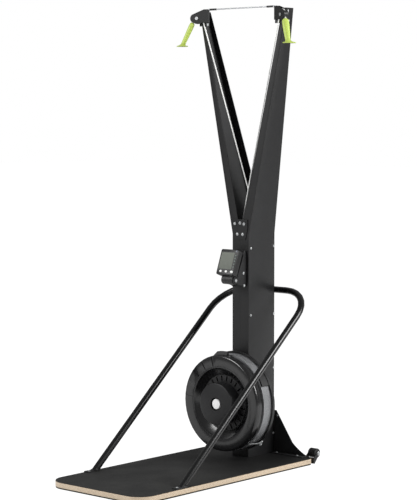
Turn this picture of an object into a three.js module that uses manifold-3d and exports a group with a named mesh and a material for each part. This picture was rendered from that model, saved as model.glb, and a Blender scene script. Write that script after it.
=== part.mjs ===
// A ski trainer: a standing platform, a forked column with a pulley head on each arm, two handles on
// ropes that cross and run down to an air-braked flywheel, a hoop brace and a small monitor.
// Millimetres, +Z up, +Y to the rear, the floor at Z = 0 and the middle of the bounding box at X = Y = 0.
import * as THREE from "three";
import { mergeVertices } from "three/addons/utils/BufferGeometryUtils.js";
import Module from "manifold-3d";

// Clearances that every piece shares
const seatGap = 0.3; // between pieces that rest on or are bolted to each other
const runGap = 0.3; // radial, between a turning piece and its shaft
const cutOverrun = 20; // how far a cutting solid runs past what it cuts

// Platform
const deckWidth = 590;
const deckLength = 1212;
const deckFrontRadius = 90;
const deckRearRadius = 30;
const deckEdgeInset = 1.5;
const underlayThickness = 6.4;
const boardThickness = 22.3;
const matThickness = 2.7;

// Column of two folded channels that splay into arms
const columnInset = 6; // deck rear edge to column rear face
const columnHalfWidth = 52;
const columnDepth = 198;
const channelSheet = 3;
const channelFold = 4;
const bendHeight = 1115;
const armTopHeight = 2192;
const armTopHalfWidth = 273;
const armTopFlange = 24;
const armTopDepth = 54.5;
const armTopLean = 10; // how far the arm tops lean back

// Plates that tie the two channels together where they part
const jointPlateThickness = 4;
const jointPlateBelowBend = 23;
const jointPlateAboveBend = 73;
const jointPlateShoulder = 31; // above the bend
const jointPlateHalfBottom = 34;
const jointPlateHalfTop = 47;
const rearPlateBelowBend = 5;
const rearPlateHeight = 80;
const rearPlateHalfWidth = 46;

// Guide sheaves inside the fork
const sheaveAboveBend = 52;
const sheaveOffset = 29;
const sheaveRopeRadius = 15;
const sheaveFlangeRadius = 18;
const sheaveWidth = 12;
const leftSheaveDepth = 65.5; // column front face to the middle of the sheave
const rightSheaveDepth = 74.5;
const sheaveAxleRadius = 4;
const sheaveSpacerRadius = 6.5;
const axleHeadRadius = 7.5;
const axleHeadThickness = 5;
const axleEndGap = 1.3; // to the rear flange, which slopes there

// Ropes
const ropeRadius = 3;
const ropeGap = 0.5; // between a rope and the root of its groove
const ropeSides = 8;
const grooveHalfRoot = 4;
const grooveHalfRim = 4.8;

// Pulley heads on the arm tops, toed outwards
const pinOffset = 267; // middle of the machine to the pulley pin
const pinAhead = 21; // column front face to the pulley pin
const pinHeight = 2159;
const toeAngle = THREE.MathUtils.degToRad(20);
const pulleyRopeRadius = 24.5;
const pulleyFlangeRadius = 27;
const pulleyWidth = 13;
const pinRadius = 5;
const pinHeadRadius = 8;
const pinHeadThickness = 4;
const cheekSheet = 3;
const cheekGap = 1; // between a cheek and the pulley's side
const noseCentre = 13;
const noseRadius = 22;
const cheekReach = 60;
const cheekStep = 2;
const cheekStepHeight = 29.5;
const cheekShoulder = 36;
const noseTopAngle = THREE.MathUtils.degToRad(62);
const noseStripLow = THREE.MathUtils.degToRad(-30);
const noseStripHigh = THREE.MathUtils.degToRad(50);
const headAbovePin = 43;
const headBelowPin = 38;
const rearCheekReach = 27;
const headPlateOverhang = 2; // head plate past the pulley pin, outwards
const tieRodRadius = 3;
const tieRodCollarRadius = 4.5;
const tieRodCollarLength = 7;
const tieRodDrop = 2; // head top to the middle of the tie rod

// Handles
const tailLength = 21;
const handleTilt = THREE.MathUtils.degToRad(25);
const handleToe = THREE.MathUtils.degToRad(35);
const handleDrop = 115;
const handleSides = 20;
const gripTipX = 6;
const gripTipY = 7;
const gripHalfX = 12.5;
const gripHalfY = 16.5;
const gripWaistX = 10.5;
const gripWaistY = 12.5;
const gripFlare = 7; // height over which the grip widens into the hand rest
const footHalfX = 28;
const footHalfY = 32;
const footThickness = 5;
const footEdge = 1;
const footOffset = 5;

// Flywheel housing, measured forwards from the column front face
const hubHeight = 309.5;
const shellRadius = 243;
const shellBack = 26;
const shellRimFront = 45;
const shellSheet = 3;
const bossRadius = 60;
const bossBore = 30;
const bandRadius = 233;
const bandSheet = 3;
const ventBandDepth = 98;
const damperNeckRadius = 221;
const damperNeckFront = 111;
const damperRadius = 232;
const damperBore = 208;
const damperFront = 133;
const damperBevel = 2;
const damperTabRadius = 250;
const damperTabBack = 113;
const damperTabStart = THREE.MathUtils.degToRad(84);
const damperTabEnd = THREE.MathUtils.degToRad(98);
const damperTabFoot = THREE.MathUtils.degToRad(107.5); // where its sloping flank meets the ring
const coverFront = 148;
const coverSheet = 5;
const coverBevel = 1;
const coverRound = 9; // outer edge of the cover's face
const coverOpening = 165;
const coverLip = 16; // how far the face rounds down into the opening
const lipShares = [
  [1, 0],
  [0.4, 0.2],
  [0, 0.7],
];
const funnelRadius = 135.5;
const funnelBack = 115;
const funnelSheet = 3.5;
const notchWidth = 8;
const notchDepth = 3;
const notchShares = [104, 121.5, 139, 156.5, 174]; // degrees round the cover face, from +X
const grilleSheet = 3;
const drumCoverRadius = 102;
const drumCoverFront = 182;
const drumCoverFillet = 5;
const grilleSlots = 24;
const slotWidth = 8;
const slotMargin = 4;
const capWellRadius = 32;
const capWellDepth = 10;
const capRadius = 24.5;
const capThickness = 7;
const capStubRadius = 12;
const capStubLength = 10;
const capCrown = 2;
const sensorStart = THREE.MathUtils.degToRad(24);
const sensorEnd = THREE.MathUtils.degToRad(40);
const sensorHeight = 8;
const sensorMargin = 4;
const housingSegments = 48;

// Flywheel, shaft, bearings and drums
const shaftRadius = 8;
const shaftNotchRadius = 14;
const wheelDiscRadius = 196;
const wheelDiscBack = 35;
const wheelDiscThickness = 5;
const bladeTip = 195;
const bladeRoot = 24;
const bladeFront = 108;
const bladeThickness = 3;
const bladeCount = 14;
const wheelHubRadius = 30;
const shaftFront = 112;
const bearingRadius = 18;
const blockThickness = 12;
const blockHalfHeight = 60;
const springCaseRadius = 44;
const springCaseDepth = 15;
const drumRopeRadius = 28;
const drumFlangeRadius = 36;
const drumFlangeThickness = 2.5;
const drumWidth = 48;
const drumEndGap = 3;
const ropeLandingHeight = 20; // where a rope lands on its wound turns, above the shaft

// Rear brace plate
const braceThickness = 4;
const braceHeight = 208; // above the deck
const braceTopHalf = 63;
const braceShoulderHalf = 166;
const braceShoulderRise = 58;
const braceFootHalf = 256;
const braceFootRise = 3;
const braceFlangeDepth = 36;
const braceFlangeThickness = 3;
const braceFlangeGap = 4;

// Hoop brace
const hoopRadius = 16;
const hoopWall = 2;
const hoopHalfWidth = 276;
const hoopBend = 160;
const hoopFootSetback = 285; // deck front edge to where the leg's middle line meets the deck
const hoopRise = 803; // deck top to the middle of the top bar
const hoopFootLength = 72;
const hoopFootWidth = 30;
const hoopFootThickness = 5;
const hoopFootLead = 52; // how far the foot reaches ahead of the leg
const hoopSides = 14;
const hoopBendSteps = 7;

// Monitor and its bracket
const pivotAhead = 81;
const pivotBelowBend = 216;
const barrelRadius = 20;
const neckReach = 22; // how far the block's neck reaches ahead of the pivot
const barrelHalfLength = 34;
const bracketSheet = 3.5;
const bracketPlate = 4;
const bracketBelowPivot = 37;
const bracketAbovePivot = 140;
const gussetTopDepth = 12;
const gussetNose = 17;
const pivotBoltRadius = 4;
const pivotBoltHead = 7.5;
const pivotBoltHeadThickness = 4.5;
const monitorTilt = THREE.MathUtils.degToRad(20.3);
const monitorWidth = 105;
const monitorHeight = 127;
const monitorDepth = 37;
const monitorCorner = 8;
const monitorBevel = 3;
const monitorRise = 14; // pivot to the bottom of the case
const monitorFace = 48; // pivot to the face
const displayLeft = 45;
const displayRight = 36;
const displayBottom = 28; // case bottom to the display
const displayHeight = 83;
const displayThickness = 2;
const keyPitch = 34;
const keyShift = 9;
const keyRise = 16;
const keyHalfWidth = 7.5;
const keyHalfHeight = 5.5;
const sideKeyX = 46;
const sideKeyRise = 40;
const sideKeyPitch = 14.4;
const sideKeyRadius = 3.2;
const keyLength = 7;
const keyProud = 2.5;
const keyPocket = 9;
const sideKeyCount = 5;

// Transport wheels behind the deck
const wheelRadius = 23;
const wheelWidth = 46;
const wheelEdge = 4;
const wheelOffset = 270;
const wheelSetback = 34; // deck rear edge to the wheel axle
const wheelHeight = 49;
const wheelAxleRadius = 5;
const earThickness = 3;
const earGap = 1.5;
const earReach = 9;
const wheelPlateBottom = 3;
const wheelPlateThickness = 4;

// Places worked out from the sizes above
const deckFront = -(deckLength + wheelSetback + wheelRadius) / 2;
const deckMiddle = deckFront + deckLength / 2;
const deckRear = deckFront + deckLength;
const boardBottom = underlayThickness + seatGap;
const matBottom = boardBottom + boardThickness + seatGap;
const deckTop = matBottom + matThickness;
const columnRear = deckRear - columnInset;
const columnFront = columnRear - columnDepth;
const sheaveHeight = bendHeight + sheaveAboveBend;
const pivotHeight = bendHeight - pivotBelowBend;
const armShareAt = (height) => Math.max(0, (height - bendHeight) / (armTopHeight - bendHeight));
const leanAt = (height) => armTopLean * armShareAt(height);
const pinY = columnFront + leanAt(pinHeight - headBelowPin) - pinAhead;

const wasm = await Module();
wasm.setup();

// A closed geometry as a solid, turned the right way out
function solid(geometry) {
  const bare = geometry.clone();
  bare.deleteAttribute("normal");
  bare.deleteAttribute("uv");
  const merged = mergeVertices(bare);
  const make = (triVerts) =>
    new wasm.Manifold(
      new wasm.Mesh({
        numProp: 3,
        vertProperties: merged.attributes.position.array,
        triVerts,
      }),
    );
  const triangles = Uint32Array.from(merged.index.array);
  const made = make(triangles);
  return made.volume() < 0 ? make(triangles.reverse()) : made;
}

// The triangles of a solid as a geometry
function geometryOf(made) {
  const mesh = made.getMesh();
  const geometry = new THREE.BufferGeometry();
  geometry.setAttribute(
    "position",
    new THREE.BufferAttribute(mesh.vertProperties, mesh.numProp),
  );
  geometry.setIndex(new THREE.BufferAttribute(mesh.triVerts, 1));
  geometry.computeVertexNormals();
  return geometry;
}

function finish(colour, roughness, metalness) {
  return new THREE.MeshStandardMaterial({ color: colour, roughness, metalness });
}

const blackSteel = () => finish(0x1c1c1d, 0.45, 0.2);
const greySteel = () => finish(0x8c8e90, 0.4, 0.8);
const blackPlastic = () => finish(0x161617, 0.48, 0);
const whiteRope = () => finish(0xf2f2ee, 0.8, 0);
const limePlastic = () => finish(0xb9d24f, 0.5, 0);

// A named mesh of a solid in a group
function add(group, name, made, material, place = [0, 0, 0]) {
  const mesh = new THREE.Mesh(geometryOf(made), material);
  mesh.name = name;
  mesh.position.set(...place);
  group.add(mesh);
  return mesh;
}

// A box between two corners
function box(low, high) {
  const size = high.map((value, i) => value - low[i]);
  const middle = high.map((value, i) => (value + low[i]) / 2);
  return solid(new THREE.BoxGeometry(...size).translate(...middle));
}

// A flat outline given a thickness along +Z
function slab(outline, thickness, curveSegments = 8) {
  return solid(
    new THREE.ExtrudeGeometry(outline, {
      depth: thickness,
      bevelEnabled: false,
      curveSegments,
    }),
  );
}

function outlineOf(points) {
  return new THREE.Shape(points.map(([x, y]) => new THREE.Vector2(x, y)));
}

// A closed outline of [radius, position] points turned about an axis
const turnToAxis = {
  x: new THREE.Matrix4().makeRotationZ(-Math.PI / 2),
  y: new THREE.Matrix4(),
  z: new THREE.Matrix4().makeRotationX(Math.PI / 2),
};

function turned(outline, axis, segments) {
  const points = outline.map(([radius, position]) => new THREE.Vector2(radius, position));
  const lathe = new THREE.LatheGeometry(points, segments);
  return solid(lathe.applyMatrix4(turnToAxis[axis]));
}

// A ring profile: from an inner to an outer radius, between two positions
function ring(inner, outer, start, end) {
  return [
    [inner, start],
    [outer, start],
    [outer, end],
    [inner, end],
    [inner, start],
  ];
}

// A plain pin profile that starts and ends on the axis
function pinProfile(radius, start, end) {
  return [
    [0, start],
    [radius, start],
    [radius, end],
    [0, end],
  ];
}

// A solid skinned over flat sections with equal point counts, capped at both ends
function loft(sections) {
  const count = sections[0].outline.length;
  const positions = [];
  const triangles = [];
  sections.forEach(({ outline, place }) => {
    outline.forEach((point) => {
      positions.push(...new THREE.Vector3(point.x, point.y, 0).applyMatrix4(place).toArray());
    });
  });
  for (let level = 1; level < sections.length; level++) {
    for (let i = 0; i < count; i++) {
      const a = (level - 1) * count + i;
      const b = (level - 1) * count + ((i + 1) % count);
      triangles.push(a, b, b + count, a, b + count, a + count);
    }
  }
  const last = (sections.length - 1) * count;
  THREE.ShapeUtils.triangulateShape(sections[0].outline, []).forEach(([a, b, c]) => {
    triangles.push(c, b, a);
  });
  THREE.ShapeUtils.triangulateShape(sections.at(-1).outline, []).forEach(([a, b, c]) => {
    triangles.push(last + a, last + b, last + c);
  });
  const geometry = new THREE.BufferGeometry();
  geometry.setAttribute("position", new THREE.Float32BufferAttribute(positions, 3));
  geometry.setIndex(triangles);
  return solid(geometry);
}

function ellipse(halfX, halfY, sides) {
  return Array.from({ length: sides }, (_, i) => {
    const angle = (i / sides) * 2 * Math.PI;
    return new THREE.Vector2(halfX * Math.cos(angle), halfY * Math.sin(angle));
  });
}

// A round tube through points, each ring square to the path there
function sweep(points, radius, sides) {
  const outline = ellipse(radius, radius, sides);
  let side = null;
  const sections = points.map((point, i) => {
    const before = points[Math.max(i - 1, 0)];
    const after = points[Math.min(i + 1, points.length - 1)];
    const arriving = point.clone().sub(before).normalize();
    const leaving = after.clone().sub(point).normalize();
    const along = arriving.add(leaving).normalize();
    if (!side) {
      side = new THREE.Vector3(0, 1, 0).cross(along).normalize();
      if (side.length() < 0.5) side = new THREE.Vector3(1, 0, 0);
    }
    side.addScaledVector(along, -side.dot(along)).normalize();
    const third = along.clone().cross(side);
    const place = new THREE.Matrix4().makeBasis(side, third, along).setPosition(point);
    return { outline, place };
  });
  return loft(sections);
}

const mirrorX = new THREE.Matrix4().makeScale(-1, 1, 1);
const sides = [
  { side: "left", sign: -1 },
  { side: "right", sign: 1 },
];

// A solid made for the right side, or its mirror image for the left
function handed(made, sign) {
  if (sign > 0) return made;
  return solid(geometryOf(made).applyMatrix4(mirrorX));
}

// Stands a side view, drawn with +X as the rear, up at its place along X
const sideOn = new THREE.Matrix4().makeBasis(
  new THREE.Vector3(0, 1, 0),
  new THREE.Vector3(0, 0, 1),
  new THREE.Vector3(1, 0, 0),
);

const skiTrainer = new THREE.Group();

// Platform: a dark underlay, a plywood board and a grip mat, one on the other
function deckOutline(inset) {
  const halfWidth = deckWidth / 2 - inset;
  const halfLength = deckLength / 2 - inset;
  const corner = (x, y, radius, start) => [x, y, radius - inset, start, start + Math.PI / 2, false];
  const front = deckFrontRadius;
  const rear = deckRearRadius;
  const outline = new THREE.Shape();
  outline.absarc(...corner(front - deckWidth / 2, front - deckLength / 2, front, Math.PI));
  outline.absarc(...corner(deckWidth / 2 - front, front - deckLength / 2, front, 1.5 * Math.PI));
  outline.absarc(...corner(deckWidth / 2 - rear, deckLength / 2 - rear, rear, 0));
  outline.absarc(...corner(rear - deckWidth / 2, deckLength / 2 - rear, rear, Math.PI / 2));
  outline.lineTo(-halfWidth, front - halfLength - inset);
  return outline;
}

function addPlatform() {
  const inset = deckOutline(deckEdgeInset);
  const underlay = slab(inset, underlayThickness);
  const board = slab(deckOutline(0), boardThickness);
  const mat = slab(inset, matThickness);
  add(skiTrainer, "underlay", underlay, finish(0x26251f, 0.9, 0), [0, deckMiddle, 0]);
  add(skiTrainer, "deck_board", board, finish(0xe8dcc6, 0.6, 0), [0, deckMiddle, boardBottom]);
  add(skiTrainer, "grip_mat", mat, finish(0x1e1e1e, 0.9, 0), [0, deckMiddle, matBottom]);
}

// Half-width, flange edge and depth of a channel at a height
function channelAt(height) {
  const share = armShareAt(height);
  const mix = (start, end) => start + (end - start) * share;
  return {
    outer: mix(columnHalfWidth, armTopHalfWidth),
    edge: mix(seatGap / 2, armTopHalfWidth - armTopFlange),
    depth: mix(columnDepth, armTopDepth),
  };
}

function channelSection(height) {
  const { outer, edge, depth } = channelAt(height);
  const fold = channelFold;
  const soft = fold * (1 - Math.SQRT1_2);
  const web = outer - channelSheet;
  const outline = [
    [edge, 0],
    [outer - fold, 0],
    [outer - soft, soft],
    [outer, fold],
    [outer, depth - fold],
    [outer - soft, depth - soft],
    [outer - fold, depth],
    [edge, depth],
    [edge, depth - channelSheet],
    [web, depth - channelSheet],
    [web, channelSheet],
    [edge, channelSheet],
  ];
  return {
    outline: outline.map(([x, y]) => new THREE.Vector2(x, y)),
    place: new THREE.Matrix4().makeTranslation(0, leanAt(height), height),
  };
}

// A round cutter along Y that runs right through the column
function columnDrill(radius, x, height, start, end) {
  return solid(
    new THREE.CylinderGeometry(radius, radius, end - start, 16).translate(x, (start + end) / 2, height),
  );
}

function addUprights() {
  const heights = [deckTop + seatGap, bendHeight, armTopHeight];
  const axleHole = columnDrill(
    sheaveAxleRadius + seatGap,
    sheaveOffset,
    sheaveHeight,
    -cutOverrun,
    columnDepth + cutOverrun,
  );
  const shaftNotch = columnDrill(shaftNotchRadius, 0, hubHeight, -cutOverrun, cutOverrun);
  const upright = loft(heights.map(channelSection)).subtract(axleHole).subtract(shaftNotch);
  sides.forEach(({ side, sign }) => {
    add(skiTrainer, side + "_upright", handed(upright, sign), blackSteel(), [0, columnFront, 0]);
  });
}

// Plates across the two channels, in front and behind
function addJointPlates() {
  const half = [
    [jointPlateHalfBottom, bendHeight - jointPlateBelowBend],
    [jointPlateHalfTop, bendHeight + jointPlateShoulder],
    [jointPlateHalfTop, bendHeight + jointPlateAboveBend],
  ];
  const mirrored = half.map(([x, z]) => [-x, z]).reverse();
  const faceToRear = new THREE.Matrix4().makeRotationX(Math.PI / 2);
  const plate = solid(
    geometryOf(slab(outlineOf([...half, ...mirrored]), jointPlateThickness)).applyMatrix4(faceToRear),
  );
  const holes = sides.map(({ sign }) =>
    columnDrill(sheaveAxleRadius + seatGap, sign * sheaveOffset, sheaveHeight, -cutOverrun, cutOverrun),
  );
  const drilled = plate.subtract(holes[0]).subtract(holes[1]);
  add(skiTrainer, "joint_plate", drilled, blackSteel(), [0, columnFront - seatGap, 0]);

  const rearPlateTop = bendHeight - rearPlateBelowBend;
  const rear = box(
    [-rearPlateHalfWidth, 0, rearPlateTop - rearPlateHeight],
    [rearPlateHalfWidth, jointPlateThickness, rearPlateTop],
  );
  add(skiTrainer, "rear_joint_plate", rear, blackSteel(), [0, columnRear + seatGap, 0]);
}

// The outline of a grooved wheel that turns on a pin
function grooved(bore, ropeLine, flange, width) {
  const half = width / 2;
  const root = ropeLine - ropeRadius - ropeGap;
  return [
    [bore, -half],
    [flange, -half],
    [flange, -grooveHalfRim],
    [root, -grooveHalfRoot],
    [root, grooveHalfRoot],
    [flange, grooveHalfRim],
    [flange, half],
    [bore, half],
    [bore, -half],
  ];
}

const sheaveDepths = { left: leftSheaveDepth, right: rightSheaveDepth };

// Guide sheaves in the fork, each on a long bolt through both flanges
function addGuideSheaves() {
  const sheaveShape = grooved(sheaveAxleRadius + runGap, sheaveRopeRadius, sheaveFlangeRadius, sheaveWidth);
  const sheave = turned(sheaveShape, "y", 24);
  const rearFace = channelAt(sheaveHeight).depth + leanAt(sheaveHeight);
  sides.forEach(({ side, sign }) => {
    const depth = sheaveDepths[side];
    const group = new THREE.Group();
    group.position.set(sign * sheaveOffset, columnFront, sheaveHeight);
    skiTrainer.add(group);
    add(group, side + "_guide_sheave", sheave, greySteel(), [0, depth, 0]);
    const headBack = -jointPlateThickness - 2 * seatGap;
    const spacerFront = channelSheet + seatGap + leanAt(sheaveHeight + axleHeadRadius);
    const sheaveFront = depth - sheaveWidth / 2 - seatGap;
    const sheaveBack = depth + sheaveWidth / 2 + seatGap;
    const spacerBack = rearFace - channelSheet - axleEndGap;
    const nutFront = rearFace + axleEndGap;
    const axle = turned(
      [
        [0, headBack - axleHeadThickness],
        [axleHeadRadius, headBack - axleHeadThickness],
        [axleHeadRadius, headBack],
        [sheaveAxleRadius, headBack],
        [sheaveAxleRadius, spacerFront],
        [sheaveSpacerRadius, spacerFront],
        [sheaveSpacerRadius, sheaveFront],
        [sheaveAxleRadius, sheaveFront],
        [sheaveAxleRadius, sheaveBack],
        [sheaveSpacerRadius, sheaveBack],
        [sheaveSpacerRadius, spacerBack],
        [sheaveAxleRadius, spacerBack],
        [sheaveAxleRadius, nutFront],
        [axleHeadRadius, nutFront],
        [axleHeadRadius, nutFront + axleHeadThickness],
        [0, nutFront + axleHeadThickness],
      ],
      "y",
      16,
    );
    add(group, side + "_sheave_axle", axle, greySteel());
  });
}

// Pulley head: two cheeks toed outwards, a return flange and a plate on the arm's front flange
const toeTurn = new THREE.Matrix4().makeRotationZ(-toeAngle);
const cheekInside = pulleyWidth / 2 + cheekGap;

function cheek(reach, offset) {
  const outline = new THREE.Shape();
  outline.moveTo(-reach, -noseRadius);
  outline.lineTo(noseCentre, -noseRadius);
  outline.absarc(noseCentre, 0, noseRadius, -Math.PI / 2, noseTopAngle, false);
  outline.lineTo(-cheekStep, cheekStepHeight);
  const slopeShare = Math.min(1, (reach - cheekStep) / (cheekShoulder - cheekStep));
  const slopeEnd = cheekStep + (cheekShoulder - cheekStep) * slopeShare;
  const slopeTop = cheekStepHeight + (headAbovePin - cheekStepHeight) * slopeShare;
  outline.lineTo(-slopeEnd, slopeTop);
  if (reach > slopeEnd) outline.lineTo(-reach, slopeTop);
  const stand = new THREE.Matrix4().makeRotationX(Math.PI / 2).setPosition(0, offset, 0);
  const flat = geometryOf(slab(outline, cheekSheet)).applyMatrix4(stand).applyMatrix4(toeTurn);
  return solid(flat);
}

// Strip round the nose that joins the two cheeks in front of the rope
function noseStrip() {
  const outline = new THREE.Shape();
  outline.absarc(noseCentre, 0, noseRadius, noseStripLow, noseStripHigh, false);
  outline.absarc(noseCentre, 0, noseRadius - cheekSheet, noseStripHigh, noseStripLow, true);
  const width = 2 * cheekInside + cheekSheet;
  const stand = new THREE.Matrix4().makeRotationX(Math.PI / 2).setPosition(0, width / 2, 0);
  return solid(geometryOf(slab(outline, width)).applyMatrix4(stand).applyMatrix4(toeTurn));
}

function headBracket() {
  const plateBack = pinAhead - seatGap;
  const innerEnd = new THREE.Vector3(-cheekReach, -cheekInside - cheekSheet, 0).applyMatrix4(toeTurn);
  const webInner = innerEnd.x;
  const plateOutline = outlineOf([
    [webInner, -headBelowPin],
    [headPlateOverhang, -headBelowPin],
    [headPlateOverhang, cheekStepHeight],
    [-cheekShoulder * Math.cos(toeAngle), headAbovePin],
    [webInner, headAbovePin],
  ]);
  const stand = new THREE.Matrix4().makeRotationX(Math.PI / 2).setPosition(0, plateBack, 0);
  const plate = solid(geometryOf(slab(plateOutline, cheekSheet)).applyMatrix4(stand));
  const web = box([webInner, innerEnd.y, -noseRadius], [webInner + cheekSheet, plateBack, headAbovePin]);
  const pinHole = solid(
    new THREE.CylinderGeometry(pinRadius + seatGap, pinRadius + seatGap, 2 * cutOverrun, 16),
  );
  const cheeks = cheek(cheekReach, -cheekInside).add(cheek(rearCheekReach, cheekInside + cheekSheet));
  const turnedHole = solid(geometryOf(pinHole).applyMatrix4(toeTurn));
  return cheeks.subtract(turnedHole).add(plate).add(web).add(noseStrip());
}

function addHeads() {
  const bracket = headBracket();
  const pulleyShape = grooved(pinRadius + runGap, pulleyRopeRadius, pulleyFlangeRadius, pulleyWidth);
  const pulley = turned(pulleyShape, "y", 32);
  const headBack = cheekInside + cheekSheet + seatGap;
  const pin = turned(
    [
      [0, -headBack - pinHeadThickness],
      [pinHeadRadius, -headBack - pinHeadThickness],
      [pinHeadRadius, -headBack],
      [pinRadius, -headBack],
      [pinRadius, headBack],
      [pinHeadRadius, headBack],
      [pinHeadRadius, headBack + pinHeadThickness / 2],
      [0, headBack + pinHeadThickness / 2],
    ],
    "y",
    16,
  );
  sides.forEach(({ side, sign }) => {
    const head = new THREE.Group();
    head.position.set(sign * pinOffset, pinY, pinHeight);
    skiTrainer.add(head);
    add(head, side + "_head_bracket", handed(bracket, sign), blackSteel());
    const toed = new THREE.Group();
    toed.rotation.z = -sign * toeAngle;
    head.add(toed);
    add(toed, side + "_top_pulley", pulley, blackPlastic());
    add(toed, side + "_pulley_pin", pin, greySteel());
  });
}

// Thin rod that holds the two heads at their distance
function addTieRod() {
  const innerEnd = new THREE.Vector3(-cheekReach, -cheekInside - cheekSheet, 0).applyMatrix4(toeTurn);
  const half = pinOffset + innerEnd.x - seatGap;
  const rodY = (innerEnd.y + pinAhead - seatGap) / 2;
  const rod = turned(
    [
      [0, -half],
      [tieRodCollarRadius, -half],
      [tieRodCollarRadius, -half + tieRodCollarLength],
      [tieRodRadius, -half + tieRodCollarLength],
      [tieRodRadius, half - tieRodCollarLength],
      [tieRodCollarRadius, half - tieRodCollarLength],
      [tieRodCollarRadius, half],
      [0, half],
    ],
    "x",
    12,
  );
  const place = [0, pinY + rodY, pinHeight + headAbovePin - tieRodDrop];
  add(skiTrainer, "tie_rod", rod, greySteel(), place);
}

// Points on a circle in an upright plane, from one angle to another
function arcPoints(centre, outwards, radius, start, end, steps) {
  return Array.from({ length: steps + 1 }, (_, i) => {
    const angle = start + ((end - start) * i) / steps;
    return centre
      .clone()
      .addScaledVector(outwards, radius * Math.cos(angle))
      .add(new THREE.Vector3(0, 0, radius * Math.sin(angle)));
  });
}

const drumDepths = {
  left: columnDepth - channelSheet - seatGap - blockThickness - springCaseDepth - drumEndGap - drumWidth / 2,
  right: channelSheet + seatGap + blockThickness + springCaseDepth + drumEndGap + drumWidth / 2,
};

// The tail stops just above the slanting top of its handle
const tailBottom = ropeRadius * Math.tan(handleTilt) + seatGap - tailLength;

// Each rope runs over its pulley, crosses to the other side's sheave and lands on its drum
function addRopes() {
  sides.forEach(({ side, sign }) => {
    const other = sign < 0 ? "right" : "left";
    const outwards = new THREE.Vector3(sign * Math.cos(toeAngle), -Math.sin(toeAngle), 0);
    const pin = new THREE.Vector3(sign * pinOffset, pinY, pinHeight);
    const sheaveCentre = new THREE.Vector3(
      -sign * sheaveOffset,
      columnFront + sheaveDepths[other],
      sheaveHeight,
    );
    const drumPoint = new THREE.Vector3(
      drumRopeRadius,
      columnFront + drumDepths[side],
      hubHeight + ropeLandingHeight,
    );
    const across = new THREE.Vector3(-sign, 0, 0);
    const fall = sheaveCentre.clone().sub(pin);
    const pulleyLean = Math.atan2(-fall.dot(outwards) - pulleyRopeRadius + sheaveRopeRadius, -fall.z);
    const sheaveLean = Math.atan2(Math.abs(fall.x) + sheaveRopeRadius - pulleyRopeRadius, -fall.z);
    const exit = drumPoint.clone().sub(sheaveCentre).addScaledVector(across, -sheaveRopeRadius);
    const exitLean = Math.atan2(-exit.dot(across), -exit.z);
    const overPulley = arcPoints(pin, outwards, pulleyRopeRadius, 0, Math.PI - pulleyLean, 10);
    const roundSheave = arcPoints(sheaveCentre, across, sheaveRopeRadius, sheaveLean, -exitLean, 4);
    const route = [...overPulley, ...roundSheave, drumPoint];
    add(skiTrainer, side + "_rope", sweep(route, ropeRadius, ropeSides), whiteRope());

    const tailTop = pin.clone().addScaledVector(outwards, pulleyRopeRadius);
    const tail = turned(pinProfile(ropeRadius, tailBottom, -2 * seatGap), "z", ropeSides);
    add(skiTrainer, side + "_rope_tail", tail, whiteRope(), tailTop.toArray());
  });
}

// Handles: an oval grip that leans outwards and ends in a level hand rest
const handleLean = handleDrop * Math.tan(handleTilt);

// Shares of the drop, of the two half sizes at that place, and of the tilt that the ring there keeps
const gripShares = [
  [0, 0, 0, 1],
  [0.03, 0.6, 0.5, 1],
  [0.1, 1, 0.9, 1],
  [0.3, 1, 1, 1],
];

function handleSolid() {
  const mix = (start, end, share) => start + (end - start) * share;
  const footTop = handleDrop - footThickness;
  const stations = gripShares.map(([drop, shareX, shareY, tilt]) => ({
    drop: drop * handleDrop,
    halfX: mix(gripTipX, gripHalfX, shareX),
    halfY: mix(gripTipY, gripHalfY, shareY),
    tilt: tilt * handleTilt,
    offset: 0,
  }));
  stations.push({
    drop: footTop - gripFlare,
    halfX: gripWaistX,
    halfY: gripWaistY,
    tilt: handleTilt / 2,
    offset: 0,
  });
  [
    [footTop, footEdge],
    [footTop + footEdge, 0],
    [handleDrop - footEdge, 0],
    [handleDrop, footEdge],
  ].forEach(([drop, inset]) => {
    const halfX = footHalfX - inset;
    const halfY = footHalfY - inset;
    stations.push({ drop, halfX, halfY, tilt: 0, offset: footOffset });
  });
  return loft(
    stations.map(({ drop, halfX, halfY, tilt, offset }) => ({
      outline: ellipse(halfX, halfY, handleSides),
      place: new THREE.Matrix4()
        .makeRotationY(-tilt)
        .setPosition((handleLean * drop) / handleDrop, offset, -drop),
    })),
  );
}

function addHandles() {
  const handle = handleSolid();
  sides.forEach(({ side, sign }) => {
    const hang = new THREE.Group();
    hang.position.set(
      sign * (pinOffset + pulleyRopeRadius * Math.cos(toeAngle)),
      pinY - pulleyRopeRadius * Math.sin(toeAngle),
      pinHeight - tailLength,
    );
    hang.rotation.z = -sign * handleToe;
    skiTrainer.add(hang);
    add(hang, side + "_handle", handed(handle, sign), limePlastic());
  });
}

// Sector of a ring in the housing's own frame, from one angle to another
function sector(inner, outer, start, end, back, front) {
  const outline = new THREE.Shape();
  outline.absarc(0, 0, outer, start, end, false);
  outline.absarc(0, 0, inner, end, start, true);
  const made = new THREE.ExtrudeGeometry(outline, {
    depth: front - back,
    bevelEnabled: false,
    curveSegments: 8,
  });
  return solid(made.translate(0, 0, back));
}

// Flywheel housing, in a frame with +Z forwards and its zero on the column's front face
const housing = new THREE.Group();
housing.position.set(0, columnFront, hubHeight);
housing.rotation.x = Math.PI / 2;
skiTrainer.add(housing);

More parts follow.
